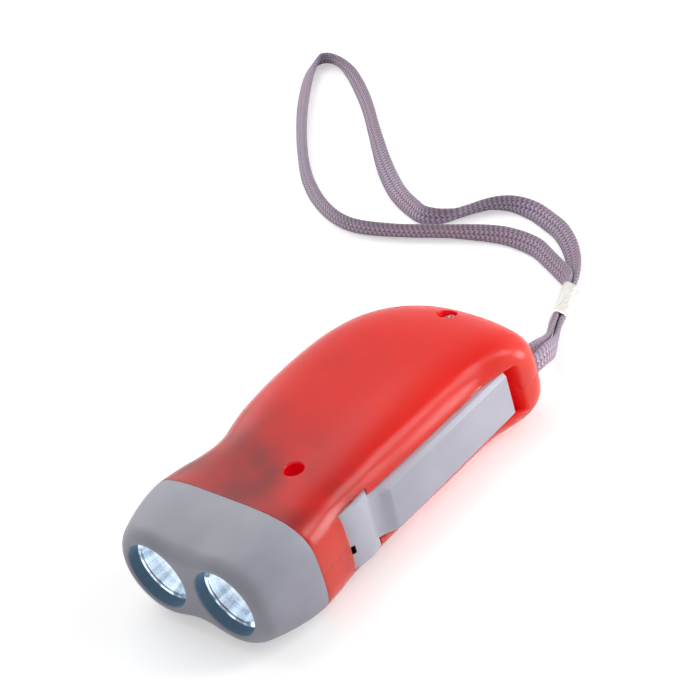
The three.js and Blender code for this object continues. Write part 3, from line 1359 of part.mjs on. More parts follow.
// The flat strap's section, with rounded edges.
function strapSection() {
  const x = STRAP_WIDTH / 2;
  const y = STRAP_THICKNESS / 2;
  const corner = x - y * STRAP_CORNER_SHARE;
  return new THREE.Shape([
    [x, -y * STRAP_CORNER_SHARE / 2], [x, y * STRAP_CORNER_SHARE / 2], [corner, y],
    [-corner, y], [-x, y * STRAP_CORNER_SHARE / 2], [-x, -y * STRAP_CORNER_SHARE / 2],
    [-corner, -y], [corner, -y],
  ].map(([across, thick]) => new THREE.Vector2(across, thick)));
}

// The strap's own point in the model from a listed one, moved sideways by a spread.
function strapPoint([x, y, z, tilt], [nextX, nextY], spread) {
  const along = new THREE.Vector2(nextX - x, nextY - y).normalize();
  const lift = Math.cos(radians(tilt)) * spread;
  const side = Math.sin(radians(tilt)) * spread;
  return new THREE.Vector3(x - along.y * side, y + along.x * side, z + lift);
}

// The short strand pair from the crimp round the post in the tail.
function strapTether() {
  const ends = TETHER_POINTS;
  const out = [];
  const back = [];
  ends.forEach((point, i) => {
    const next = ends[Math.min(i + 1, ends.length - 1)];
    const previous = ends[Math.max(i - 1, 0)];
    const ahead = [point[0] + next[0] - previous[0], point[1] + next[1] - previous[1]];
    out.push(strapPoint(point, ahead, point[4]));
    back.push(strapPoint(point, ahead, -point[4]));
  });
  const tilts = ends.map((point) => point[3]);
  const turnRadius = STRAP_POST_RADIUS + RUN_CLEARANCE + STRAP_THICKNESS / 2;
  const turn = [];
  for (let i = 0; i <= POST_TURN_STEPS; i += 1) {
    const place = stepFrom(strapPost, Math.PI * (-i / POST_TURN_STEPS), turnRadius);
    turn.push(new THREE.Vector3(place.x, place.y, 0));
  }
  const turnTilts = turn.map(() => 90);
  const points = [...out, ...turn, ...back.reverse()];
  const backTilts = [...tilts].reverse().map((tilt) => 180 - tilt);
  const curve = new StrapCurve(points, [...tilts, ...turnTilts, ...backTilts]);
  return tube(strapSection(), curve, TETHER_SEGMENTS);
}

// The long loop, out of the crimp and back into it.
function strapLoop() {
  const last = LOOP_POINTS.length - 1;
  const points = LOOP_POINTS.map((point, i) => {
    if (i > 0 && i < last) return new THREE.Vector3(...point.slice(0, 3));
    const ahead = i === 0 ? LOOP_POINTS[1] : [
      2 * point[0] - LOOP_POINTS[last - 1][0],
      2 * point[1] - LOOP_POINTS[last - 1][1],
    ];
    return strapPoint(point, ahead, -CRIMP_SPREAD);
  });
  const curve = new StrapCurve(points, LOOP_POINTS.map((point) => point[3]));
  return tube(strapSection(), curve, STRAP_SEGMENTS);
}

// The metal crimp between the tether's and the loop's ends.
function strapCrimp() {
  const start = new THREE.Vector3(...TETHER_POINTS[0].slice(0, 3));
  const end = new THREE.Vector3(...LOOP_POINTS[0].slice(0, 3));
  const inset = end.clone().sub(start).setLength(CRIMP_END_GAP);
  const curve = new StrapCurve([start.add(inset), end.sub(inset)], [
    CRIMP_TILT_DEGREES,
    CRIMP_TILT_DEGREES,
  ]);
  const x = STRAP_WIDTH / 2 + CRIMP_WALL;
  const y = STRAP_THICKNESS / 2 + CRIMP_SPREAD + CRIMP_WALL;
  const corner = x - y * STRAP_CORNER_SHARE;
  const section = new THREE.Shape([
    [x, -y / 2], [x, y / 2], [corner, y], [-corner, y], [-x, y / 2], [-x, -y / 2],
    [-corner, -y], [corner, -y],
  ].map(([across, thick]) => new THREE.Vector2(across, thick)));
  return tube(section, curve, 1);
}

const FINISHES = {
  shell: { color: 0xe83a2d, roughness: 0.32, metalness: 0 },
  bezel: { color: 0x9c9ca6, roughness: 0.42, metalness: 0 },
  lever: { color: 0xc3c4cf, roughness: 0.38, metalness: 0 },
  clear: { color: 0xf2f7fa, roughness: 0.05, metalness: 0 },
  mirror: { color: 0xdfe6ec, roughness: 0.08, metalness: 1 },
  board: { color: 0x2f6b45, roughness: 0.5, metalness: 0 },
  black: { color: 0x1b1b1d, roughness: 0.45, metalness: 0 },
  steel: { color: 0xb6b8bb, roughness: 0.28, metalness: 1 },
  copper: { color: 0xb36a3a, roughness: 0.35, metalness: 1 },
  gear: { color: 0xeceae2, roughness: 0.4, metalness: 0 },
  magnet: { color: 0x3a3a3e, roughness: 0.55, metalness: 0 },
  red: { color: 0xb3261e, roughness: 0.5, metalness: 0 },
  strap: { color: 0xa79db0, roughness: 0.9, metalness: 0 },
};
const [leftX, rightX] = lampCentres;

const PIECES = [
  ['upper_shell', upperShell(), 'shell'],
  ['lower_shell', lowerShell(), 'shell'],
  ['lamp_bezel', lampBezel(), 'bezel'],
  ['lens_left', lens(leftX), 'clear'],
  ['lens_right', lens(rightX), 'clear'],
  ['reflector_left', reflector(leftX), 'mirror'],
  ['reflector_right', reflector(rightX), 'mirror'],
  ['led_left', led(leftX), 'clear'],
  ['led_right', led(rightX), 'clear'],
  ['circuit_board', circuitBoard(), 'board'],
  ['smoothing_capacitor', smoothingCapacitor(), 'black'],
  ['bridge_rectifier', bridgeRectifier(), 'black'],
  ['coil_lead_red', solid(coilLead(-1)), 'red'],
  ['coil_lead_black', solid(coilLead(1)), 'black'],
  ['lever_pivot_pin', leverPivotPin(), 'steel'],
  ['lever_return_spring', leverReturnSpring(), 'steel'],
  ['drive_axle', axlePin(0), 'steel'],
  ['idler_axle', axlePin(1), 'steel'],
  ['rotor_axle', axlePin(2), 'steel'],
  ['stator_claws_lower', statorClaws(1), 'steel'],
  ['stator_claws_upper', statorClaws(-1), 'steel'],
  ['coil_bobbin', coilBobbin(), 'gear'],
  ['coil_winding', coilWinding(), 'copper'],
  ['front_screw', shellScrew(screwPlaces[0]), 'steel'],
  ['rear_screw', shellScrew(screwPlaces[1]), 'steel'],
  ['squeeze_lever', squeezeLever(), 'lever'],
  ['sector_gear', sectorGear(), 'gear'],
  ['drive_pinion', drivePinion(), 'gear'],
  ['drive_gear', driveGear(), 'gear'],
  ['idler_gear', idlerGear(), 'gear'],
  ['rotor_pinion', rotorPinion(), 'gear'],
  ['flywheel', flywheel(), 'steel'],
  ['rotor_magnet', rotorMagnet(), 'magnet'],
  ['lock_slider', lockSlider(), 'black'],
  ['strap_crimp', solid(strapCrimp()), 'steel'],
  ['strap_tether', solid(strapTether()), 'strap'],
  ['strap_loop', solid(strapLoop()), 'strap'],
];

const flashlight = new THREE.Group();
flashlight.position.set(0, -REST_CENTRE_Y, -REST_Z);
for (const [name, body, finish] of PIECES) {
  const mesh = new THREE.Mesh(geometryOf(body), new THREE.MeshStandardMaterial(FINISHES[finish]));
  mesh.name = name;
  flashlight.add(mesh);
}

export default flashlight;
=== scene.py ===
"""Looks of a hand-squeeze dynamo flashlight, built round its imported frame.

The frame is in metres. Its origin is on the flat underside, midway between the lamp rims and
the tail, with X to the squeeze lever, Y from the lamps to the tail and Z up. The pieces' own
sizes are in millimetres, with Y from the lamp rims and Z from the shells' parting plane.
"""

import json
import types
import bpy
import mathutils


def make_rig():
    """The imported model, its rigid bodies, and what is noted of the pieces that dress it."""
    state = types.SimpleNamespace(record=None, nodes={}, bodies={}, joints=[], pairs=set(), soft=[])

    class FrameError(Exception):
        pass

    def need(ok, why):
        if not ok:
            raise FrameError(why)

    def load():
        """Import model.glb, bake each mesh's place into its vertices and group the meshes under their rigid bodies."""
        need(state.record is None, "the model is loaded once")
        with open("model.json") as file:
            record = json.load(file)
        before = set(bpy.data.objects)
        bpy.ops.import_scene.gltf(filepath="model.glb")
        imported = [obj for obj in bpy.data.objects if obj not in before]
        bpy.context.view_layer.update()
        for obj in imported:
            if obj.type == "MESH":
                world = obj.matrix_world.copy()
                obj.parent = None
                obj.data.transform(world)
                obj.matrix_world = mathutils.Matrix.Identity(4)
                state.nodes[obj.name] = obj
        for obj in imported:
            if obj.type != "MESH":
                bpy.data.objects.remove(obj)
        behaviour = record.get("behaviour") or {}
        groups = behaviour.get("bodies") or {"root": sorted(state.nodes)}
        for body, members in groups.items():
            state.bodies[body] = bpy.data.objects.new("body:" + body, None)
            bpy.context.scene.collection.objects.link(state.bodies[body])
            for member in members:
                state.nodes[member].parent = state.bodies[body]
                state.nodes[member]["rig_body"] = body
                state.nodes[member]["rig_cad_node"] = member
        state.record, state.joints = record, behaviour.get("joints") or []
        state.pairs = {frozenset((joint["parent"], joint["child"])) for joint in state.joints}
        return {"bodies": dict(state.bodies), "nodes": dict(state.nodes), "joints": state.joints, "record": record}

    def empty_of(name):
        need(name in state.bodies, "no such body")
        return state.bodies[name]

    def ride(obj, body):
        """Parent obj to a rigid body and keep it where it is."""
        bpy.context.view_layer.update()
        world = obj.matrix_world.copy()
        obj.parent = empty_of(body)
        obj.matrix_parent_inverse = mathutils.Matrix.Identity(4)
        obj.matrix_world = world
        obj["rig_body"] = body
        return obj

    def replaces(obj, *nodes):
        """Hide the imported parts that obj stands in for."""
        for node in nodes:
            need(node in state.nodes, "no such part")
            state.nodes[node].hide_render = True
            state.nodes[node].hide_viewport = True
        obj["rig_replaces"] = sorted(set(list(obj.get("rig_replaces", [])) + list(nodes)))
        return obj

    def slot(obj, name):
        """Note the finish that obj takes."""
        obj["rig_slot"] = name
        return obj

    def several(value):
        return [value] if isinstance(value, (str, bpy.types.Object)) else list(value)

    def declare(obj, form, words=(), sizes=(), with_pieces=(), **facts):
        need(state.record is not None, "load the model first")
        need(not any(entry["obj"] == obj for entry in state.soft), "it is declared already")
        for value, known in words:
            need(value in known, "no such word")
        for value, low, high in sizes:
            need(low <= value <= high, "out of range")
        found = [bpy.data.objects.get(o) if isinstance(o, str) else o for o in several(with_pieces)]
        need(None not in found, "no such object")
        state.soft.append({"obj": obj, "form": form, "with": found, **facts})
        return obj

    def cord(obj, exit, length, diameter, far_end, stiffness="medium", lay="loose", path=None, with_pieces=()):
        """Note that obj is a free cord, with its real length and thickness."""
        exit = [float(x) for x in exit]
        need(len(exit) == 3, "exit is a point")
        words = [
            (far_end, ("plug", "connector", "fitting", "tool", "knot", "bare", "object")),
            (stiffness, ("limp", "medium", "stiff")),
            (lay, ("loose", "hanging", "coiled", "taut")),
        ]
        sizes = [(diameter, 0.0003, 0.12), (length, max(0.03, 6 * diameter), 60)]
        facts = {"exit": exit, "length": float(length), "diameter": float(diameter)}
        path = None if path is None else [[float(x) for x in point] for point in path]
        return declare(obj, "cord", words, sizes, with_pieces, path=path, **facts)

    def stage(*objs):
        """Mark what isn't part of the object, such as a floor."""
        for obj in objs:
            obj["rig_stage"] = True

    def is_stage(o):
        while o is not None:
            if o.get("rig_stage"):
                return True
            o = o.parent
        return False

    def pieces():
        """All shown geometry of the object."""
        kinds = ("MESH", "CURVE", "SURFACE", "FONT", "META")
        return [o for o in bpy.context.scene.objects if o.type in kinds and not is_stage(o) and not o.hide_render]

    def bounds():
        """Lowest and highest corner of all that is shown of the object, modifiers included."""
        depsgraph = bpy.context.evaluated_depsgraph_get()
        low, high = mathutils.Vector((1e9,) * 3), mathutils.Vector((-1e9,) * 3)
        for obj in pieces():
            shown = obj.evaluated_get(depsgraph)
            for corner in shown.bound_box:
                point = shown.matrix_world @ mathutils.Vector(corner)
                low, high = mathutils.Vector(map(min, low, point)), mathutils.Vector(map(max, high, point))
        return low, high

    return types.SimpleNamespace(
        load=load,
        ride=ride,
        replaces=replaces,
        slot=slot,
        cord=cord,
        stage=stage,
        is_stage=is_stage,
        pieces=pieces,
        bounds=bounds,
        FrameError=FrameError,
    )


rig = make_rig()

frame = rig.load()

import json
import logging
import math
from collections.abc import Callable, Iterator, Sequence
from contextlib import contextmanager
from dataclasses import dataclass
from enum import Enum

import bmesh
import bpy
from mathutils import Matrix, Vector

CAD_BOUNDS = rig.bounds()
LOG = logging.getLogger("flashlight")

MM = 0.001
BODY_LENGTH = 107.4
REST_HEIGHT = 14.2
MERGE_DISTANCE = 0.01 * MM
TINY = 1e-9
SPLINE_STEPS = 16
SOFT_ANGLE = math.radians(32)
SHARP_ANGLE = math.radians(50)
UP = Vector((0, 0, 1))

Piece = bpy.types.Object
Socket = bpy.types.NodeSocket
Color = tuple[float, float, float, float]
Corner = tuple[float, float, float]
Flat = tuple[float, float]
Ring = list[Vector]

BLACK: Color = (0.0, 0.0, 0.0, 1.0)
WHITE: Color = (1.0, 1.0, 1.0, 1.0)


def spot(x: float, y: float, z: float) -> Vector:
    """Turns a point in the pieces' own millimetres into a place in the frame, in metres."""
    return Vector((x, y - BODY_LENGTH / 2, z + REST_HEIGHT)) * MM


def smoothstep(value: float, low: float, high: float) -> float:
    """Eases from 0 at low to 1 at high."""
    share = min(max((value - low) / (high - low), 0.0), 1.0)
    return share * share * (3 - 2 * share)


def full_turn(steps: int) -> list[float]:
    """Gives the angles of even steps round a full turn."""
    return [2 * math.pi * i / steps for i in range(steps)]


def quarter_turn(steps: int) -> list[float]:
    """Gives the angles of even steps through a quarter turn, with both its ends."""
    return [math.pi / 2 * i / steps for i in range(steps + 1)]


def hermite(first: Vector, second: Vector, start: Vector, end: Vector, share: float) -> Vector:
    """Gives a point of a curve between two points, from its slopes at them."""
    square = -3 * first + 3 * second - 2 * start - end
    cubic = 2 * first - 2 * second + start + end
    return ((cubic * share + square) * share + start) * share + first


# Workbench: selecting, editing and joining meshes


def clear_selection() -> None:
    """Deselects every object."""
    bpy.ops.object.select_all(action="DESELECT")


def activate(piece: Piece) -> None:
    """Makes a piece the only selected object and the active one."""
    clear_selection()
    piece.select_set(True)
    bpy.context.view_layer.objects.active = piece


@contextmanager
def editing(piece: Piece) -> Iterator[None]:
    """Opens a piece in edit mode with nothing selected, and closes it afterwards."""
    activate(piece)
    bpy.ops.object.mode_set(mode="EDIT")
    bpy.ops.mesh.select_mode(type="VERT")
    bpy.ops.mesh.select_all(action="DESELECT")
    yield
    bpy.ops.object.mode_set(mode="OBJECT")


def pick(piece: Piece, kind: str, test: Callable[..., bool]) -> None:
    """Selects parts of a piece that is open in edit mode.

    Args:
        piece: The piece.
        kind: VERT to pick corners, EDGE to pick edges.
        test: Tells whether a corner or an edge is picked.
    """
    bpy.ops.mesh.select_mode(type=kind)
    mesh = bmesh.from_edit_mesh(piece.data)
    for part in mesh.verts if kind == "VERT" else mesh.edges:
        part.select_set(test(part))
    mesh.select_flush_mode()
    bmesh.update_edit_mesh(piece.data)


def apply_modifier(piece: Piece, kind: str, **settings: object) -> None:
    """Adds a modifier of a kind with the given settings and applies it."""
    modifier = piece.modifiers.new(kind.lower(), kind)
    for name, value in settings.items():
        setattr(modifier, name, value)
    activate(piece)
    bpy.ops.object.modifier_apply(modifier=modifier.name)


def round_edges(piece: Piece, width: float, segments: int = 2, angle: float = SHARP_ANGLE) -> None:
    """Rounds a piece's edges that are sharper than an angle, by a width in millimetres."""
    apply_modifier(
        piece, "BEVEL", width=width * MM, segments=segments, limit_method="ANGLE",
        angle_limit=angle,
    )


def joined(pieces: Sequence[Piece]) -> Piece:
    """Joins pieces into the first of them, each with its own faces."""
    activate(pieces[0])
    for piece in pieces:
        piece.select_set(True)
    bpy.ops.object.join()
    return pieces[0]


class Merge(Enum):
    """How a tool acts on the piece that it is put to."""

    CUT = "DIFFERENCE"
    ADD = "UNION"
    KEEP = "INTERSECT"


def combine(piece: Piece, tool: Piece, how: Merge) -> Piece:
    """Changes a piece with another solid, which is used up, and returns the piece."""
    apply_modifier(piece, "BOOLEAN", object=tool, operation=how.value, solver="EXACT")
    bpy.data.objects.remove(tool)
    return piece


def merge_corners() -> None:
    """Selects all of the piece in edit mode and merges its doubled corners."""
    bpy.ops.mesh.select_all(action="SELECT")
    bpy.ops.mesh.remove_doubles(threshold=MERGE_DISTANCE)


def sealed(piece: Piece) -> Piece:
    """Merges a piece's doubled corners, closes its holes and turns its faces outwards."""
    with editing(piece):
        merge_corners()
        bpy.ops.mesh.fill_holes(sides=0)
        bpy.ops.mesh.select_all(action="SELECT")
        bpy.ops.mesh.normals_make_consistent(inside=False)
    return piece


def draped(name: str, across: int, along: int, place: Callable[[int, int], Vector]) -> Piece:
    """Lays a grid primitive over a form.

    Args:
        name: The piece's name.
        across: The grid's steps in its first direction.
        along: Its steps in the second direction.
        place: Gives the place of a grid corner from its two step counts.

    Returns:
        The open sheet, with the grid's own UV map.
    """
    clear_selection()
    bpy.ops.mesh.primitive_grid_add(x_subdivisions=across, y_subdivisions=along, size=2)
    piece = bpy.context.object
    piece.name = name
    for corner in piece.data.vertices:
        i = round((corner.co.x + 1) / 2 * across)
        j = round((corner.co.y + 1) / 2 * along)
        corner.co = place(i, j)
    return piece


def lofted(name: str, rings: Sequence[Ring]) -> Piece:
    """Skins a stack of closed rings with equal counts of points, and closes its ends."""
    count = len(rings[0])
    return sealed(draped(name, count, len(rings) - 1, lambda i, j: rings[j][i % count]))


class Axis(Enum):
    """The direction that a turned piece's axis takes, after its two cross directions."""

    ALONG_Y = (Vector((1, 0, 0)), Vector((0, 0, 1)), Vector((0, 1, 0)))
    UPRIGHT = (Vector((1, 0, 0)), Vector((0, 1, 0)), Vector((0, 0, 1)))


def turned(
    name: str, profile: Sequence[Flat], centre: Corner, axis: Axis, steps: int = 64,
) -> Piece:
    """Turns a profile on a lathe.

    Args:
        name: The piece's name.
        profile: Pairs of a radius and a place along the axis, measured from the centre.
        centre: The point that the profile is measured from.
        axis: The axis that it turns about.
        steps: The steps of a full turn.

    Returns:
        The closed piece.
    """
    first, second, ahead = axis.value
    middle = spot(*centre)

    spokes = [first * math.cos(angle) + second * math.sin(angle) for angle in full_turn(steps)]
    return lofted(name, [
        [middle + (spoke * radius + ahead * reach) * MM for spoke in spokes]
        for radius, reach in profile
    ])


def pillar(place: Flat, radius: float, low: float, high: float, steps: int = 48) -> Piece:
    """Adds an upright round bar at a plan place, from one height to another."""
    clear_selection()
    centre = spot(*place, 0)
    middle = Vector((centre.x, centre.y, ((low + high) / 2 + REST_HEIGHT) * MM))
    bpy.ops.mesh.primitive_cylinder_add(
        vertices=steps, radius=radius * MM, depth=(high - low) * MM, location=middle,
    )
    return settled(bpy.context.object)


def bar(lowest: Corner, highest: Corner) -> Piece:
    """Adds a block between its lowest and highest corners."""
    clear_selection()
    low, high = spot(*lowest), spot(*highest)
    bpy.ops.mesh.primitive_cube_add(size=1, location=(low + high) / 2, scale=high - low)
    return settled(bpy.context.object)


def settled(piece: Piece) -> Piece:
    """Puts a piece's place, turn and scale into its mesh."""
    activate(piece)
    bpy.ops.object.transform_apply(location=True, rotation=True, scale=True)
    return piece


# Finishes: wiring, node groups that several materials share, and the materials


def srgb(red: int, green: int, blue: int) -> Color:
    """Turns a colour of 0 to 255 as seen on a screen into Blender's own values."""
    shares = [value / 255 for value in (red, green, blue)]
    linear = [s / 12.92 if s <= 0.04045 else ((s + 0.055) / 1.055) ** 2.4 for s in shares]
    return (*linear, 1.0)


class Wiring:
    """A node tree that is being wired. An input is either a value or another node's output."""

    def __init__(self, tree: bpy.types.NodeTree) -> None:
        """Takes the tree to wire."""
        self.tree = tree

    def feed(self, node: bpy.types.Node, inputs: dict[int | str, object]) -> None:
        """Sets or links a node's inputs by their index or name."""
        for key, value in inputs.items():
            if isinstance(value, Socket):
                self.tree.links.new(value, node.inputs[key])
            else:
                node.inputs[key].default_value = value

    def add(
        self, kind: str, inputs: dict[int | str, object], **settings: object,
    ) -> Sequence[Socket]:
        """Adds a node.

        Args:
            kind: The node's type, without its ShaderNode prefix.
            inputs: Its inputs by their index or name.
            settings: The node's own properties.

        Returns:
            The node's outputs.
        """
        node = self.tree.nodes.new("ShaderNode" + kind)
        for name, value in settings.items():
            setattr(node, name, value)
        self.feed(node, inputs)
        return node.outputs

    def place(self) -> Socket:
        """Gives the place on the piece, in metres of the frame."""
        return self.add("TexCoord", {})["Object"]

    def parts(self, vector: Socket) -> Sequence[Socket]:
        """Splits a vector into its three parts."""
        return self.add("SeparateXYZ", {0: vector})

    def group(self, tree: bpy.types.NodeTree, inputs: dict[str, object]) -> Sequence[Socket]:
        """Places a node group that reads the place on the piece, and gives its outputs."""
        return self.add("Group", {"Vector": self.place(), **inputs}, node_tree=tree)

    def math(self, operation: str, *values: object) -> Socket:
        """Works out a value from up to three others."""
        return self.add("Math", dict(enumerate(values)), operation=operation)[0]

    def blend(self, share: object, first: object, second: object) -> Socket:
        """Mixes two colours by a share."""
        return self.add("Mix", {0: share, 6: first, 7: second}, data_type="RGBA")[2]

    def ramp(
        self, value: Socket, low: float, high: float, least: float = 0.0, most: float = 1.0,
    ) -> Socket:
        """Maps a value that goes from low to high to one that goes from least to most."""
        return self.add("MapRange", {0: value, 1: low, 2: high, 3: least, 4: most})[0]

    def noise(self, vector: Socket, scale: object, detail: float = 3.0) -> Socket:
        """Gives a noise pattern's value, from 0 to 1."""
        return self.add("TexNoise", {"Vector": vector, "Scale": scale, "Detail": detail})["Fac"]

    def bump(self, height: Socket, strength: float, distance: float) -> Socket:
        """Gives the normal of a surface with a height in shares of a distance in metres."""
        return self.add("Bump", {"Strength": strength, "Distance": distance, "Height": height})[0]

    def distance(self, across: Socket, along: Socket) -> Socket:
        """Gives the long side of a right-angled triangle."""
        squares = [self.math("MULTIPLY", side, side) for side in (across, along)]
        return self.math("SQRT", self.math("ADD", *squares))

    def box(self, parts: Sequence[Socket], low: Corner, high: Corner) -> Socket:
        """Gives 1 inside a box between two corners in metres."""
        mask: object = 1.0
        for part, least, greatest in zip(parts, low, high):
            mask = self.math("MULTIPLY", mask, self.math("GREATER_THAN", part, least))
            mask = self.math("MULTIPLY", mask, self.math("LESS_THAN", part, greatest))
        return mask


def new_group(
    name: str, inputs: dict[str, float], outputs: Sequence[str],
) -> tuple[Wiring, Sequence[Socket], bpy.types.Node]:
    """Starts a shader node group that takes a Vector and values, and puts out values.

    Args:
        name: The group's name.
        inputs: The names of the values that it takes, each with its usual value.
        outputs: The names of the values that it puts out.

    Returns:
        The group's wiring, its inputs' sockets and its output node.
    """
    group = bpy.data.node_groups.new(name, "ShaderNodeTree")
    group.interface.new_socket("Vector", in_out="INPUT", socket_type="NodeSocketVector")
    for label, value in inputs.items():
        socket = group.interface.new_socket(label, in_out="INPUT", socket_type="NodeSocketFloat")
        socket.default_value = value
    for label in outputs:
        group.interface.new_socket(label, in_out="OUTPUT", socket_type="NodeSocketFloat")
    source = group.nodes.new("NodeGroupInput")
    return Wiring(group), source.outputs, group.nodes.new("NodeGroupOutput")


def mould_grain() -> bpy.types.NodeTree:
    """Builds the surface of a moulded part: fine spark grain, slow sinks and a faint mottle."""
    w, given, sink = new_group(
        "mould_grain", {"Grain size": 0.0003, "Mottle size": 0.012}, ("Height", "Gloss", "Mottle"),
    )
    fine, slow = (
        w.noise(given["Vector"], w.math("DIVIDE", 1.0, given[label]), 2.0)
        for label in ("Grain size", "Mottle size")
    )
    w.feed(sink, {
        "Height": w.math("MULTIPLY_ADD", fine, 0.6, 0.2),
        "Gloss": w.math("MULTIPLY", fine, slow),
        "Mottle": w.ramp(slow, 0.35, 0.65),
    })
    return w.tree


def drawn_metal() -> bpy.types.NodeTree:
    """Builds the fine lines that rolling or turning leaves on metal."""
    w, given, sink = new_group(
        "drawn_metal", {"Line size": 0.00012, "Stretch": 30.0}, ("Height", "Streak"),
    )
    parts = w.parts(given["Vector"])
    squeezed = w.math("DIVIDE", parts[1], given["Stretch"])
    vector = w.add("CombineXYZ", {0: parts[0], 1: squeezed, 2: parts[2]})[0]
    lines = w.noise(vector, w.math("DIVIDE", 1.0, given["Line size"]), 2.0)
    w.feed(sink, {"Height": lines, "Streak": w.ramp(lines, 0.3, 0.7)})
    return w.tree


@dataclass(frozen=True)
class SharedGroups:
    """The node groups that the finishes share."""

    grain: bpy.types.NodeTree
    drawn: bpy.types.NodeTree


@dataclass(frozen=True)
class Finish:
    """A finish: its name in the record and how its material is made."""

    slot: str

    def wire(self, w: Wiring, shader: bpy.types.Node, shared: SharedGroups) -> None:
        """Wires the nodes that feed the material's main shader."""
        raise NotImplementedError

    def build(self, shared: SharedGroups) -> bpy.types.Material:
        """Builds the material."""
        material = bpy.data.materials.new(self.slot + "_finish")
        material.use_nodes = True
        tree = material.node_tree
        self.wire(Wiring(tree), tree.nodes["Principled BSDF"], shared)
        return material


@dataclass(frozen=True)
class Moulded(Finish):
    """An opaque moulded plastic with spark grain and a faint mottle."""

    color: Color
    deep: Color
    roughness: float = 0.4
    gloss_spread: float = 0.16
    grain_size: float = 0.00035
    relief: float = 0.00002
    relief_strength: float = 0.25

    def wire(self, w: Wiring, shader: bpy.types.Node, shared: SharedGroups) -> None:
        """Wires the grain and the mottle."""
        grain = w.group(shared.grain, {"Grain size": self.grain_size})
        least = self.roughness - self.gloss_spread / 4
        w.feed(shader, {
            "Base Color": w.blend(grain["Mottle"], self.deep, self.color),
            "Roughness": w.math("MULTIPLY_ADD", grain["Gloss"], self.gloss_spread, least),
            "Normal": w.bump(grain["Height"], self.relief_strength, self.relief),
        })

    def overpaint(self, w: Wiring, shader: bpy.types.Node, mask: Socket, color: Color) -> None:
        """Paints another colour where a mask is 1."""
        plain = shader.inputs["Base Color"].links[0].from_socket
        w.feed(shader, {"Base Color": w.blend(mask, plain, color)})


@dataclass(frozen=True)
class BoredPlastic(Moulded):
    """The head's plastic, with painted shade, a darker bluish grey, inside its two bores, in metres."""

    bore_shade: Color = (0.13, 0.24, 0.35, 1.0)
    bore_x: float = 0.0114
    bore_z: float = 0.0142
    bore_reach: float = 0.0094
    bore_front: float = -0.0534
    fade: float = 0.0003

    def wire(self, w: Wiring, shader: bpy.types.Node, shared: SharedGroups) -> None:
        """Wires the plastic and the painted shade inside its bores."""
        super().wire(w, shader, shared)
        place = w.parts(w.place())
        across = w.math("SUBTRACT", w.math("ABSOLUTE", place[0]), self.bore_x)
        off_axis = w.distance(across, w.math("SUBTRACT", place[2], self.bore_z))
        inside = w.ramp(off_axis, self.bore_reach + self.fade, self.bore_reach)
        behind = w.ramp(place[1], self.bore_front, self.bore_front + self.fade)
        # Painted shade: the bore walls are painted a darker bluish grey to stand in for their shade.
        self.overpaint(w, shader, w.math("MULTIPLY", inside, behind), self.bore_shade)


@dataclass(frozen=True)
class NotchedPlastic(Moulded):
    """The lever's plastic, with painted shade, near black, inside the lock's notch, in metres."""

    notch_shade: Color = (0.012, 0.006, 0.007, 1.0)
    notch_low: Corner = (0.02325, -0.05, 0.0103)
    notch_high: Corner = (0.05, -0.0224, 0.0125)

    def wire(self, w: Wiring, shader: bpy.types.Node, shared: SharedGroups) -> None:
        """Wires the plastic and the painted shade in its notch."""
        super().wire(w, shader, shared)
        notch = w.box(w.parts(w.place()), self.notch_low, self.notch_high)
        # Painted shade: the inside of the notch is painted near black to look like a dark shaded hole.
        self.overpaint(w, shader, notch, self.notch_shade)


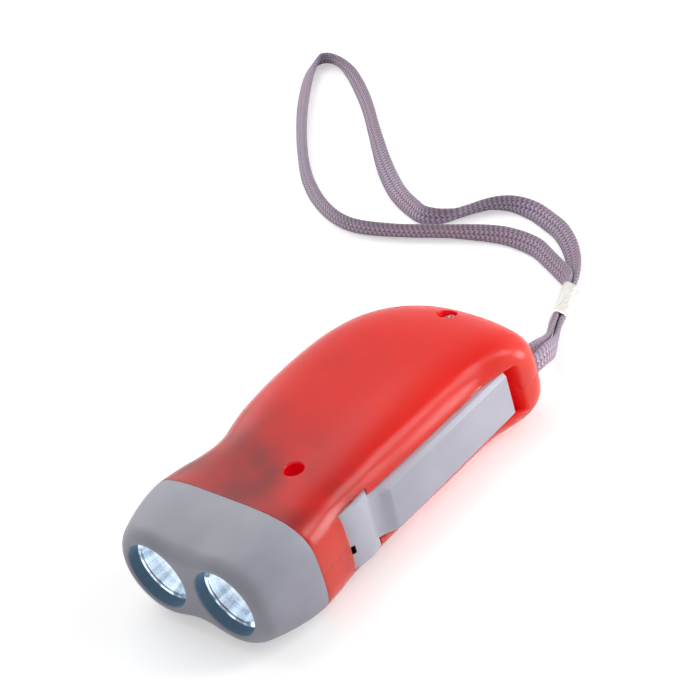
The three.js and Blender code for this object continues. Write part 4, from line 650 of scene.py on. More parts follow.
@dataclass(frozen=True)
class Milky(Finish):
    """A translucent milky plastic, in metres, with painted shade near the head, a painted highlight along its right
    side and a painted glow that stands in for light coming through, strongest in its wells and lever recess.
    """

    color: Color
    deep: Color
    head_shade: Color
    flank_highlight: Color
    well: Color
    # Colour of the painted glow, an emission that stands in for light coming through the shell.
    light: Color = (1.0, 0.0, 0.01, 1.0)
    head_shade_end: float = 0.008
    head_shade_full: float = -0.018
    wisps: float = 60.0
    wisp_range: Flat = (0.36, 0.64)
    wisp_least: float = 0.4
    flank_highlight_start: float = 0.021
    flank_highlight_full: float = 0.0268
    well_radius: float = 0.0027
    well_bottom: float = 0.0232
    well_places: tuple[Flat, ...] = ((0.0088, -0.0203), (0.0016, 0.0463))
    recess_low: Corner = (0.0192, -0.0192, 0.00715)
    recess_high: Corner = (0.05, 0.0411, 0.02125)
    # Strengths of the painted glow: all over the shell, extra in the screw wells and extra on the lever recess's
    # walls.
    light_through: float = 0.045
    well_light: float = 0.16
    recess_light: float = 0.14
    roughness: float = 0.21
    gloss_spread: float = 0.1
    relief: float = 0.00002
    relief_strength: float = 0.12
    refraction: float = 1.45
    shine: float = 0.26
    transmission: float = 0.3
    glow: float = 0.7
    glow_reach: float = 0.006
    glow_reach_by_color: Corner = (1.0, 0.22, 0.12)

    def in_wells(self, w: Wiring, parts: Sequence[Socket]) -> Socket:
        """Gives 1 inside the screw wells, where a deeper red and a painted glow stand in for light coming through
        their thin walls.
        """
        inside: object = 0.0
        for x, y in self.well_places:
            across, along = w.math("SUBTRACT", parts[0], x), w.math("SUBTRACT", parts[1], y)
            near = w.math("LESS_THAN", w.distance(across, along), self.well_radius)
            inside = w.math("MAXIMUM", inside, near)
        return w.math("MULTIPLY", inside, w.math("GREATER_THAN", parts[2], self.well_bottom))

    def wire(self, w: Wiring, shader: bpy.types.Node, shared: SharedGroups) -> None:
        """Wires the milky colour, the painted shade near the head, the painted highlight on the right side and the
        painted glow that stands in for light coming through.
        """
        grain = w.group(shared.grain, {"Grain size": 0.0004, "Mottle size": 0.016})
        place = w.place()
        parts = w.parts(place)
        # Painted shade: patchy darker red towards the head stands in for the shadows of the parts inside.
        near_head = w.ramp(parts[1], self.head_shade_end, self.head_shade_full)
        wisps = w.ramp(w.noise(place, self.wisps, 2.0), *self.wisp_range, least=self.wisp_least)
        head_shaded = w.math("MULTIPLY", near_head, wisps)
        # Painted highlight: the right side is painted pinker, standing in for the light that falls on it.
        flank_highlight = w.ramp(parts[0], self.flank_highlight_start, self.flank_highlight_full)
        body = w.blend(grain["Mottle"], self.deep, self.color)
        seen = w.blend(flank_highlight, w.blend(head_shaded, body, self.head_shade), self.flank_highlight)
        # Painted glow: inside the screw wells the colour turns a deeper red and a red emission is added, standing in
        # for light through the walls.
        well = self.in_wells(w, parts)
        # Painted glow: a red emission, stronger on the lever recess's walls, stands in for light coming through the
        # shell.
        recess = w.box(parts, self.recess_low, self.recess_high)
        walls = w.math("MULTIPLY_ADD", recess, self.recess_light, self.light_through)
        lit = w.math("MULTIPLY_ADD", well, self.well_light, walls)
        w.feed(shader, {
            "Base Color": w.blend(well, seen, self.well),
            "Emission Color": w.blend(lit, BLACK, self.light),
            "Emission Strength": 1.0,
            "Roughness": w.math("MULTIPLY_ADD", grain["Gloss"], self.gloss_spread, self.roughness),
            "Normal": w.bump(grain["Height"], self.relief_strength, self.relief),
            "IOR": self.refraction,
            "Specular IOR Level": self.shine,
            "Transmission Weight": self.transmission,
            "Subsurface Weight": self.glow,
            "Subsurface Radius": self.glow_reach_by_color,
            "Subsurface Scale": self.glow_reach,
        })


@dataclass(frozen=True)
class Clear(Finish):
    """A clear moulded plastic with faint flow lines."""

    color: Color
    roughness: float = 0.03
    gloss_spread: float = 0.06
    relief: float = 0.00005
    relief_strength: float = 0.1
    refraction: float = 1.49

    def wire(self, w: Wiring, shader: bpy.types.Node, shared: SharedGroups) -> None:
        """Wires the flow lines."""
        grain = w.group(shared.grain, {"Grain size": 0.002, "Mottle size": 0.006})
        w.feed(shader, {
            "Base Color": self.color,
            "Roughness": w.math("MULTIPLY_ADD", grain["Gloss"], self.gloss_spread, self.roughness),
            "Normal": w.bump(grain["Height"], self.relief_strength, self.relief),
            "IOR": self.refraction,
            "Transmission Weight": 1.0,
        })


@dataclass(frozen=True)
class Metal(Finish):
    """A bare metal with drawn lines."""

    color: Color
    deep: Color
    roughness: float = 0.25
    line_size: float = 0.00012
    gloss_spread: float = 0.12
    relief: float = 0.00001
    relief_strength: float = 0.2

    def wire(self, w: Wiring, shader: bpy.types.Node, shared: SharedGroups) -> None:
        """Wires the drawn lines."""
        drawn = w.group(shared.drawn, {"Line size": self.line_size})
        w.feed(shader, {
            "Base Color": w.blend(drawn["Streak"], self.deep, self.color),
            "Roughness": w.math("MULTIPLY_ADD", drawn["Streak"], self.gloss_spread, self.roughness),
            "Normal": w.bump(drawn["Height"], self.relief_strength, self.relief),
            "Metallic": 1.0,
        })


@dataclass(frozen=True)
class LampBowl(Metal):
    """A bright bowl with painted, glowing rays of light and shade round each lamp's axis, in metres."""

    ray: Color = (0.80, 0.92, 1.0, 1.0)
    dim: Color = (0.10, 0.13, 0.16, 1.0)
    lamp_x: float = 0.0114
    lamp_z: float = 0.0142
    rays: float = 2.6
    ray_range: Flat = (0.42, 0.6)
    shine: float = 0.75

    def wire(self, w: Wiring, shader: bpy.types.Node, shared: SharedGroups) -> None:
        """Wires the metal and its painted glowing rays."""
        super().wire(w, shader, shared)
        place = w.parts(w.place())
        across = w.math("SUBTRACT", w.math("ABSOLUTE", place[0]), self.lamp_x)
        rise = w.math("SUBTRACT", place[2], self.lamp_z)
        outward = w.add("CombineXYZ", {0: across, 1: rise})[0]
        heading = w.add("VectorMath", {0: outward}, operation="NORMALIZE")[0]
        streaks = w.ramp(w.noise(heading, self.rays), *self.ray_range)
        # Painted reflection: streaks of emission stand in for the rays of light and shade that the bowl reflects.
        w.feed(shader, {
            "Emission Color": w.blend(streaks, self.dim, self.ray),
            "Emission Strength": self.shine,
        })


@dataclass(frozen=True)
class KnitTape(Finish):
    """A knitted tape: columns of small V stitches that follow the tape's own UV map."""

    thread: Color
    shade: Color
    blush: Color
    columns_round: float = 20.0
    stitches: float = 640.0
    stitch_lean: float = 0.55
    groove_depth: float = 0.8
    groove_power: float = 4.0
    fuzz: float = 0.9
    fuzz_scale: float = 2600.0
    thread_range: Flat = (-0.1, 0.85)
    blush_scale: float = 45.0
    blush_range: Flat = (0.42, 0.66)
    blush_most: float = 0.6
    relief: float = 0.0002
    relief_strength: float = 0.8
    roughness: float = 0.85
    sheen: float = 0.35
    sheen_roughness: float = 0.4

    def wire(self, w: Wiring, shader: bpy.types.Node, shared: SharedGroups) -> None:
        """Wires the stitches, the fuzz and the blushes of colour."""
        uv = w.parts(w.add("UVMap", {}, uv_map="UVMap")[0])
        column = w.math("FRACT", w.math("MULTIPLY", uv[0], self.columns_round))
        lean = w.math("ABSOLUTE", w.math("MULTIPLY_ADD", column, 2.0, -1.0))
        step = w.math("MULTIPLY", uv[1], self.stitches)
        phase = w.math("ADD", step, w.math("MULTIPLY", lean, self.stitch_lean))
        wave = w.math("SINE", w.math("MULTIPLY", phase, 2 * math.pi))
        groove = w.math("MULTIPLY", w.math("POWER", lean, self.groove_power), self.groove_depth)
        height = w.math("SUBTRACT", w.math("MULTIPLY_ADD", wave, 0.5, 0.5), groove)
        place = w.place()
        fuzz = w.math("SUBTRACT", w.noise(place, self.fuzz_scale, 2.0), 0.5)
        lit = w.math("ADD", height, w.math("MULTIPLY", fuzz, self.fuzz))
        tint = w.ramp(w.noise(place, self.blush_scale), *self.blush_range, most=self.blush_most)
        dark = w.blend(tint, self.shade, self.blush)
        w.feed(shader, {
            "Base Color": w.blend(w.ramp(lit, *self.thread_range), dark, self.thread),
            "Roughness": self.roughness,
            "Sheen Weight": self.sheen,
            "Sheen Roughness": self.sheen_roughness,
            "Normal": w.bump(height, self.relief_strength, self.relief),
        })


FINISHES: tuple[Finish, ...] = (
    # The shell's last three colours are painted: shade near the head, a highlight on the right side and a glow in the
    # screw wells.
    Milky(
        "shell", color=srgb(255, 34, 4), deep=srgb(250, 28, 4), head_shade=srgb(150, 26, 24),
        flank_highlight=srgb(255, 86, 72), well=srgb(215, 8, 26),
    ),
    BoredPlastic("bezel", srgb(161, 161, 173), srgb(153, 153, 165), 0.42),
    NotchedPlastic("lever", srgb(187, 187, 200), srgb(180, 180, 193), 0.36),
    Clear("lens", srgb(244, 249, 255)),
    LampBowl("reflector", srgb(248, 251, 255), srgb(226, 234, 244), 0.16),
    Clear("led", srgb(240, 246, 250), 0.06),
    Moulded("board", srgb(38, 92, 58), srgb(30, 78, 50), 0.35),
    Moulded("electronics", srgb(34, 34, 38), srgb(26, 26, 30), 0.45),
    Moulded("lead_red", srgb(170, 30, 26), srgb(150, 24, 22), 0.4),
    Moulded("lead_black", srgb(28, 28, 30), srgb(20, 20, 22), 0.4),
    Metal("steel", srgb(196, 198, 200), srgb(150, 152, 156), 0.28),
    Metal("copper", srgb(196, 118, 66), srgb(150, 80, 42), 0.3),
    Moulded("gear", srgb(232, 228, 216), srgb(222, 217, 204), 0.38),
    Moulded("magnet", srgb(52, 52, 56), srgb(42, 42, 46), 0.6),
    Moulded("lock", srgb(30, 30, 33), srgb(24, 24, 27), 0.45),
    Metal("crimp", srgb(240, 238, 232), srgb(222, 219, 212), 0.24, 0.0004),
    KnitTape("strap", srgb(206, 191, 211), srgb(128, 106, 134), srgb(150, 98, 112)),
)


class Wardrobe:
    """Holds the built materials and puts them on pieces."""

    def __init__(self) -> None:
        """Builds every finish once."""
        shared = SharedGroups(mould_grain(), drawn_metal())
        self.materials = {finish.slot: finish.build(shared) for finish in FINISHES}
        self.count = 0

    def paint(self, piece: Piece, slot: str) -> None:
        """Gives a piece one finish."""
        piece.data.materials.clear()
        piece.data.materials.append(self.materials[slot])

    def fit(self, piece: Piece, slot: str, body: str, stands_for: str) -> Piece:
        """Finishes a new piece and ties it to its CAD body.

        Args:
            piece: The piece, with its place in its mesh.
            slot: The record's material slot.
            body: The CAD body that it rides on.
            stands_for: The CAD node that it replaces.

        Returns:
            The piece.
        """
        activate(piece)
        bpy.ops.object.shade_smooth_by_angle(angle=SOFT_ANGLE)
        self.paint(piece, slot)
        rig.ride(piece, body)
        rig.slot(piece, slot)
        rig.replaces(piece, stands_for)
        self.count += 1
        faces = len(piece.data.polygons)
        LOG.info("%s: %d faces, %s finish, rides on %s", piece.name, faces, slot, body)
        return piece


# Body form


@dataclass(frozen=True)
class BodyForm:
    """The outer form behind the lamp head: a plan outline and a squarish section."""

    half_width: float = 29
    half_height: float = 14.6
    head_depth: float = 18.1
    fine_steps: int = 1600
    power: float = 3.7
    spine_end_share: float = 0.693
    drop_start_share: float = 0.55
    drop_share: float = 0.11
    flute_depth: float = 0.2
    flute_height: float = 10.4
    flute_spread: float = 1.5
    flute_start: float = 41
    flute_end: float = 97
    flute_fade: float = 9
    right_side_shares: tuple[Flat, ...] = (
        (0.924, 0), (0.903, 0.066), (0.862, 0.144), (0.85, 0.268), (0.85, 0.469),
        (0.845, 0.671), (0.859, 0.76), (0.914, 0.828), (0.952, 0.878), (0.938, 0.917),
    )
    tail_shares: tuple[Flat, ...] = (
        (0.862, 0.951), (0.724, 0.976), (0.448, 0.994), (0.138, 1), (-0.172, 0.993),
        (-0.448, 0.966),
    )
    left_side_shares: tuple[Flat, ...] = (
        (-0.69, 0.915), (-0.869, 0.839), (-0.966, 0.746), (-1, 0.648), (-1, 0.548),
        (-0.976, 0.447), (-0.924, 0.346), (-0.859, 0.279), (-0.803, 0.228), (-0.79, 0.178),
        (-0.824, 0.122), (-0.883, 0.066), (-0.924, 0),
    )

    @property
    def length(self) -> float:
        """The body's length behind the lamp head."""
        return BODY_LENGTH - self.head_depth

    @property
    def spine_end(self) -> float:
        """Where the ridge of the section ends and the tail rounds off."""
        return self.head_depth + self.spine_end_share * self.length

    def outline(self, steps: int, inset: float, front: float) -> list[Flat]:
        """Follows the plan outline from the right of the lamp head, round the tail, to its left.

        Args:
            steps: The count of steps.
            inset: How far the outline is moved in.
            front: Where its two front ends are.

        Returns:
            Plan points.
        """
        shares = self.right_side_shares + self.tail_shares + self.left_side_shares
        points = [
            Vector((across * self.half_width, self.head_depth + along * self.length))
            for across, along in shares
        ]
        last = len(points) - 1
        places = []
        for step in range(steps + 1):
            along = step / steps * last
            index = min(int(along), last - 1)
            before, first, second, after = (
                points[min(max(index + k, 0), last)] for k in (-1, 0, 1, 2)
            )
            slopes = (second - before) / 2, (after - first) / 2
            places.append(hermite(first, second, *slopes, along - index))
        found = [(places[0].x - inset, front)]
        for i, place in enumerate(places):
            ahead = (places[min(i + 1, steps)] - places[max(i - 1, 0)]).normalized()
            found.append((place.x - ahead.y * inset, place.y + ahead.x * inset))
        return [*found, (places[-1].x + inset, front)]

    def columns(
        self, side_steps: int, tail_steps: int, inset: float, front: float,
    ) -> list[Flat]:
        """Picks plan points whose two sides share their stations, so that their arches meet.

        Args:
            side_steps: Steps along each side up to the spine's end.
            tail_steps: Steps round the tail.
            inset: How far the outline is moved in.
            front: How far the front ends reach into the lamp head.

        Returns:
            Plan points from the right of the lamp head to its left.
        """
        start = self.head_depth - front
        fine = self.outline(self.fine_steps, inset, start - MERGE_DISTANCE)
        tail = [i for i, (_, y) in enumerate(fine) if y > self.spine_end]
        right = fine[:tail[0] + 1]
        left = fine[tail[-1]:][::-1]
        reach = self.spine_end - start
        stations = [start + reach * i / side_steps for i in range(side_steps + 1)]
        right_points = [(width_at(right, y), y) for y in stations]
        left_points = [(width_at(left, y), y) for y in stations]
        round_tail = evenly(fine[tail[0]:tail[-1] + 1], tail_steps)[1:-1]
        return right_points + round_tail + left_points[::-1]

    def half_height_at(self, y: float) -> float:
        """The section's half height at a place along the body."""
        start = self.head_depth + self.drop_start_share * self.length
        along = max(y - start, 0) / (BODY_LENGTH - start)
        return self.half_height * (1 - self.drop_share * along * along)

    def flute(self, y: float, height: float) -> float:
        """How far the shallow flute above and below the lever draws the side in."""
        rise = (height - self.flute_height) / self.flute_spread
        fade_in = smoothstep(y, self.flute_start, self.flute_start + self.flute_fade)
        fade_out = 1 - smoothstep(y, self.flute_end - self.flute_fade, self.flute_end)
        return self.flute_depth * math.exp(-rise * rise) * fade_in * fade_out

    def skin_point(self, column: Flat, turn: float, side: int, inset: float) -> Vector:
        """Gives a point of the outer skin, or of a skin inside it.

        Args:
            column: The plan point at the parting plane.
            turn: From 0 at the parting plane to a quarter turn at the spine.
            side: 1 over the parting plane, -1 under it.
            inset: How far the skin is inside the outer one.

        Returns:
            The point in the row frame.
        """
        x, y = column
        reach = max(math.cos(turn), 0) ** (2 / self.power)
        level = math.sin(turn) ** (2 / self.power)
        spine = min(y, self.spine_end)
        along = spine + (y - spine) * reach
        height = level * (self.half_height_at(along) - inset)
        drawn_in = self.flute(along, height) if x > 0 and not inset else 0
        return spot(x * reach - drawn_in, along, side * height)


def width_at(side: Sequence[Flat], y: float) -> float:
    """Reads a side's distance from the middle at a station, negative on the left."""
    for (x_low, low), (x_high, high) in zip(side, side[1:]):
        if low <= y <= high:
            return x_low + (x_high - x_low) * (y - low) / max(high - low, MERGE_DISTANCE)
    return side[-1][0]


def evenly(points: Sequence[Flat], steps: int) -> list[Flat]:
    """Spreads points at equal distances along a fine plan line."""
    reached = [0.0]
    for (x0, y0), (x1, y1) in zip(points, points[1:]):
        reached.append(reached[-1] + math.hypot(x1 - x0, y1 - y0))
    found = []
    for step in range(steps + 1):
        goal = reached[-1] * step / steps
        index = min(range(len(reached)), key=lambda i: abs(reached[i] - goal))
        found.append(points[index])
    return found


@dataclass(frozen=True)
class Layout:
    """Places and sizes that several pieces share."""

    pivot: Flat = (19.5, 34.5)
    drive: Flat = (6.73, 66.097)
    idler: Flat = (1.04, 77.763)
    rotor: Flat = (-11.366, 72.24)
    front_screw: Flat = (8.8, 33.4)
    rear_screw: Flat = (1.6, 100)
    strap_post: Flat = (21.6, 101.3)
    strap_post_radius: float = 1.1
    lamp_spacing: float = 22.8
    well_floor: float = 9.2


# Shells


class Half(Enum):
    """Which side of the parting plane a shell is on."""

    UPPER = 1
    LOWER = -1


# Each half's posts and bosses: the place's name in the layout, the radius and the free end
BOSSES: dict[Half, tuple[tuple[str, float, float], ...]] = {
    Half.UPPER: (
        ("pivot", 3.2, 8.4), ("drive", 2.1, 0.9), ("idler", 2.1, 9.5), ("rotor", 3.6, 9.6),
        ("front_screw", 3.6, 0.12), ("rear_screw", 3.6, 0.12), ("strap_post", 1.1, 0.12),
    ),
    Half.LOWER: (
        ("pivot", 3.2, -8.4), ("drive", 2.1, -6.9), ("idler", 2.1, -4.7), ("rotor", 2.1, -1.9),
        ("front_screw", 2.6, -0.12), ("rear_screw", 2.6, -0.12), ("strap_post", 1.1, -0.12),
    ),
}


@dataclass
class Shell:
    """One half of the translucent body."""

    half: Half
    form: BodyForm
    layout: Layout
    wall: float = 1.8
    parting_gap: float = 0.1
    head_gap: float = 0.12
    rim_height: float = 6.9
    rim_start: float = 34.5
    rim_end: float = 94.6
    rim_inside: float = 22.6
    rim_rounding: float = 0.55
    rim_tolerance: float = 0.1
    end_wall_depth: float = 11
    end_wall_thickness: float = 1.6
    first_row: float = 0.012
    hub_height: float = 8.4
    hub_cut_radius: float = 7.1
    valley: float = 38.8
    lever_back: float = 19.3
    opening_front: float = 29.6
    opening_back: float = 22.8
    overrun: float = 2
    filling_overrun: float = 0.5
    well_radius: float = 2.5
    well_flare: float = 0.3
    shank_radius: float = 1.2
    strap_opening: float = 4.2
    strap_opening_height: float = 3.9
    strap_opening_rounding: float = 0.8
    lock_window: tuple[Corner, Corner] = ((5.7, 23.1, -18), (12.3, 30.7, -12.2))
    lock_window_rounding: float = 0.4
    lock_slot: tuple[Corner, Corner] = ((23.3, 22.1, -3.9), (24.9, 34.5, -1.7))
    edge_rounding: float = 0.16
    side_steps: int = 44
    tail_steps: int = 52
    arch_steps: int = 30

    @property
    def side_name(self) -> str:
        """The name of the half's side."""
        return self.half.name.lower()

    def form_solid(self, inset: float, base: float, front: float) -> Piece:
        """Drapes a skin over this half of the form and closes it below and in front.

        Args:
            inset: How far the skin is inside the outer one.
            base: The height of its open side from the parting plane, positive inside this half.
            front: How far it reaches into the lamp head.

        Returns:
            The closed solid.
        """
        columns = self.form.columns(self.side_steps, self.tail_steps, inset, front)
        side = self.half.value
        rows = self.arch_steps

        def place(i: int, j: int) -> Vector:
            """Gives a grid corner's place on the form."""
            if j == 0:
                return spot(*columns[i], side * base)
            turn = max((j - 1) / rows, self.first_row) * math.pi / 2
            return self.form.skin_point(columns[i], turn, side, inset)

        piece = draped(self.side_name + "_moulding", len(columns) - 1, rows + 1, place)
        foot = spot(0, 0, side * base).z
        ahead = min(corner.co.y for corner in piece.data.vertices)
        with editing(piece):
            merge_corners()
            bpy.ops.mesh.select_all(action="DESELECT")
            pick(piece, "VERT", lambda corner: (
                abs(corner.co.z - foot) < MERGE_DISTANCE
                and abs(corner.co.y - ahead) < MERGE_DISTANCE
            ))
            bpy.ops.mesh.edge_face_add()
        return sealed(piece)

    def bosses(self) -> list[Piece]:
        """Adds the posts and bosses that hang from the skin, long enough to cross it."""
        far = self.half.value * self.form.half_height
        return [
            pillar(getattr(self.layout, name), radius, *sorted((face, far)))
            for name, radius, face in BOSSES[self.half]
        ]

    def end_wall(self) -> Piece:
        """Adds the wall that closes the recess behind the lever's tip."""
        across, high = self.form.half_width, self.form.half_height
        return bar(
            (across - self.end_wall_depth, self.rim_end, -high),
            (across, self.rim_end + self.end_wall_thickness, high),
        )

    def round_rim(self, piece: Piece) -> None:
        """Rounds the recess's outer rim more than the other edges."""
        middle = spot(0, 0, 0).z
        start = spot(0, self.rim_start + 1, 0).y
        end = spot(0, self.rim_end, 0).y

        def on_rim(edge: bmesh.types.BMEdge) -> bool:
            """Tells whether an edge is the sharp corner between the skin and the recess."""
            if len(edge.link_faces) != 2 or edge.calc_face_angle() < SHARP_ANGLE:
                return False
            ends = [corner.co for corner in edge.verts]
            if any(co.x < self.rim_inside * MM for co in ends):
                return False
            level = all(
                abs(abs(co.z - middle) - self.rim_height * MM) < MERGE_DISTANCE
                and start < co.y < end + MERGE_DISTANCE
                for co in ends
            )
            across = all(
                abs(co.y - end) < MERGE_DISTANCE
                and abs(co.z - middle) < (self.rim_height + self.rim_tolerance) * MM
                for co in ends
            )
            outside = max(face.calc_center_median().x for face in edge.link_faces)
            return (level or across) and outside > min(co.x for co in ends)

        with editing(piece):
            pick(piece, "EDGE", on_rim)
            bpy.ops.mesh.bevel(offset=self.rim_rounding * MM, segments=4, affect="EDGES")

    def lever_cutter(self) -> Piece:
        """Builds the lever's opening: long and low, taller at the hub and round in front of it."""
        front = self.layout.pivot[1]
        side = self.form.half_width + self.overrun
        hub, rim = self.hub_height, self.rim_height
        cutter = pillar(self.layout.pivot, self.hub_cut_radius, -hub, hub, 96)
        for back, start, end, height in (
            (self.lever_back, front, self.valley, hub),
            (self.lever_back, front, self.rim_end, rim),
            (self.opening_back, self.opening_front, front + 1, hub),
        ):
            combine(cutter, bar((back, start, -height), (side, end, height)), Merge.ADD)
        return cutter

    def strap_cutter(self) -> Piece:
        """Builds the tail opening that the strap is threaded through, round its post."""
        x, y = self.layout.strap_post
        reach, high = self.strap_opening, self.strap_opening_height
        slot = bar((x - reach, y - reach, -high), (x + reach, BODY_LENGTH + self.overrun, high))
        round_edges(slot, self.strap_opening_rounding, 3)
        post = pillar((x, y), self.layout.strap_post_radius, -2 * high, 2 * high)
        return combine(slot, post, Merge.CUT)

    def well_cutter(self, piece: Piece, place: Flat) -> Piece:
        """Builds the tool for a screw well with a small flare at the surface."""
        above = 40
        hit, top, _, _ = piece.ray_cast(spot(*place, above), -UP)
        surface = (top.z / MM - REST_HEIGHT) if hit else self.form.half_height
        floor, flared = self.layout.well_floor, self.well_radius + self.well_flare
        return turned("well_tool", [
            (0, -self.overrun), (self.shank_radius, -self.overrun), (self.shank_radius, floor),
            (self.well_radius, floor), (self.well_radius, surface - self.well_flare),
            (flared, surface + 0.02), (flared, surface + 3), (0, surface + 3),
        ], (*place, 0), Axis.UPRIGHT)

    def lock_cutter(self) -> Piece:
        """Builds the window in the underside for the lock's button, and its tongue's slot."""
        window = bar(*self.lock_window)
        round_edges(window, self.lock_window_rounding)
        return combine(window, bar(*self.lock_slot), Merge.ADD)

    def build(self, wardrobe: Wardrobe) -> None:
        """Builds and finishes the shell."""
        piece = self.form_solid(0, self.parting_gap / 2, -self.head_gap)
        if self.half is Half.LOWER:
            with editing(piece):
                bpy.ops.mesh.select_all(action="SELECT")
                bpy.ops.mesh.bisect(
                    plane_co=(0, 0, 0), plane_no=(0, 0, -1), clear_outer=True, use_fill=True,
                    threshold=MERGE_DISTANCE,
                )
        combine(piece, self.form_solid(self.wall, -self.overrun, self.overrun), Merge.CUT)
        fillings = combine(
            joined([self.end_wall(), *self.bosses()]),
            self.form_solid(self.wall / 2, self.parting_gap / 2, -self.filling_overrun),
            Merge.KEEP,
        )
        combine(piece, fillings, Merge.ADD)
        combine(piece, self.lever_cutter(), Merge.CUT)
        self.round_rim(piece)
        combine(piece, self.strap_cutter(), Merge.CUT)
        if self.half is Half.UPPER:
            for place in (self.layout.front_screw, self.layout.rear_screw):
                combine(piece, self.well_cutter(piece, place), Merge.CUT)
        else:
            combine(piece, self.lock_cutter(), Merge.CUT)
        round_edges(piece, self.edge_rounding)
        wardrobe.fit(piece, "shell", "housing", self.side_name + "_shell")


# Lamp head


@dataclass
class LampHead:
    """The grey head with its two bores."""

    form: BodyForm
    layout: Layout
    bore_radius: float = 9.2
    seat_radius: float = 9.85
    lobe_radius: float = 12.2
    waist_half_height: float = 10.2
    rim_rounding: float = 2.4
    rim_depth: float = 3.4
    lip_rounding: float = 0.5
    wall: float = 2.4
    cavity_start: float = 2.6
    lens_recess: float = 3.5
    sleeve_wall: float = 1.2
    sleeve_end: float = 15
    lobe_share: float = 0.5
    lobe_top: float = math.radians(75)
    flare_power: float = 1.8
    quarter_steps: int = 30
    rounding_steps: int = 8
    blend_steps: int = 18
    edge_rounding: float = 0.2
    spigot_reach: tuple[float, float] = (-3, 4)
    spigot_insets: tuple[float, float] = (2.0, 3.4)

    def lobe_point(self, share: float, inset: float) -> Flat:
        """Gives a quarter's point on the two-lobed rim, at a share of the way round it."""
        half = self.layout.lamp_spacing / 2
        if share < self.lobe_share:
            angle = math.pi / 2 * share / self.lobe_share
            radius = self.lobe_radius - inset
            return half + radius * math.cos(angle), radius * math.sin(angle)
        across = (1 - share) / (1 - self.lobe_share)
        rise = (1 - math.cos(math.pi * across)) / 2
        height = self.waist_half_height + (self.lobe_radius - self.waist_half_height) * rise
        return half * across, height - inset

    def mouth_point(self, share: float, inset: float) -> Flat:
        """Gives the same quarter's point on the section that the head shares with the shells."""
        if share < self.lobe_share:
            angle = self.lobe_top * share / self.lobe_share
        else:
            rest = (share - self.lobe_share) / (1 - self.lobe_share)
            angle = self.lobe_top + (math.pi / 2 - self.lobe_top) * rest
        power = 2 / self.form.power
        half_width = self.form.right_side_shares[0][0] * self.form.half_width - inset
        half_height = self.form.half_height - inset
        return (
            half_width * max(math.cos(angle), 0) ** power,
            half_height * max(math.sin(angle), 0) ** power,
        )

    def ring(self, y: float, inset: float) -> Ring:
        """Gives one closed section of the head, moved in by an inset."""
        blend = 1 - (1 - min(y / self.form.head_depth, 1)) ** self.flare_power
        count = self.quarter_steps
        points = []
        for i in range(4 * count):
            turn, step = divmod(i, count)
            share = step / count if turn % 2 == 0 else 1 - step / count
            lobe = self.lobe_point(share, inset)
            mouth = self.mouth_point(share, inset)
            x, z = (a + (b - a) * blend for a, b in zip(lobe, mouth))
            points.append(spot(x if turn in (0, 3) else -x, y, z if turn < 2 else -z))
        return points

    def outer(self) -> Piece:
        """Lofts the outer form: a rounded rim, then the blend into the shells' section."""
        rings = []
        for angle in quarter_turn(self.rounding_steps)[:-1]:
            inset = self.rim_rounding * (1 - math.sin(angle))
            rings.append(self.ring(self.rim_depth * (1 - math.cos(angle)), inset))
        depth = self.form.head_depth - self.rim_depth
        for i in range(self.blend_steps + 1):
            share = i / self.blend_steps
            rings.append(self.ring(self.rim_depth + share * depth, 0))
        return lofted("lamp_head", rings)

    def cavity(self) -> Piece:
        """Lofts the hollow behind the front wall, open to the back."""
        depth = self.form.head_depth
        steps = [self.cavity_start + (depth - self.cavity_start) * i / 6 for i in range(7)]
        rings = [self.ring(y, self.wall) for y in steps]
        past = [point + Vector((0, 2 * MM, 0)) for point in rings[-1]]
        return lofted("cavity_tool", [*rings, past])

    def spigot(self) -> Piece:
        """Lofts the thin collar that the shells close on."""
        depth = self.form.head_depth
        front, back = self.spigot_reach
        outside, inside = self.spigot_insets
        rings = []
        for y, inset in ((front, outside), (back, outside), (back, inside), (front, inside)):
            mouth = self.ring(depth, inset)
            rings.append([point + Vector((0, y * MM, 0)) for point in mouth])
        return lofted("spigot_tool", [*rings, rings[0]])

    def bore(self, x: float) -> Piece:
        """Turns the tool for a lamp bore: a rounded lip, a throat and the lens's seat."""
        lip = self.lip_rounding
        rounding = [
            (self.bore_radius + lip * (1 - math.sin(angle)), lip * (1 - math.cos(angle)))
            for angle in quarter_turn(5)
        ]
        return turned("bore_tool", [
            (0, -2), (self.bore_radius + lip, -2), *rounding,
            (self.bore_radius, self.lens_recess), (self.seat_radius, self.lens_recess),
            (self.seat_radius, self.form.head_depth + 6), (0, self.form.head_depth + 6),
        ], (x, 0, 0), Axis.ALONG_Y, 96)

    def sleeve(self, x: float) -> Piece:
        """Turns the sleeve that holds a lens and its reflector."""
        outside = self.seat_radius + self.sleeve_wall
        return turned("sleeve_tool", [
            (0, self.rim_rounding), (outside, self.rim_rounding), (outside, self.sleeve_end),
            (0, self.sleeve_end),
        ], (x, 0, 0), Axis.ALONG_Y, 96)

    def build(self, wardrobe: Wardrobe) -> None:
        """Builds and finishes the head."""
        piece = combine(self.outer(), self.cavity(), Merge.CUT)
        half = self.layout.lamp_spacing / 2
        combine(piece, self.spigot(), Merge.ADD)
        for x in (-half, half):
            combine(piece, self.sleeve(x), Merge.ADD)
        for x in (-half, half):
            combine(piece, self.bore(x), Merge.CUT)
        reach, back = self.form.half_width, 2 * self.form.head_depth
        table = bar((-reach, -2, -reach), (reach, back, -REST_HEIGHT))
        combine(piece, table, Merge.CUT)
        round_edges(piece, self.edge_rounding)
        wardrobe.fit(piece, "bezel", "housing", "lamp_bezel")


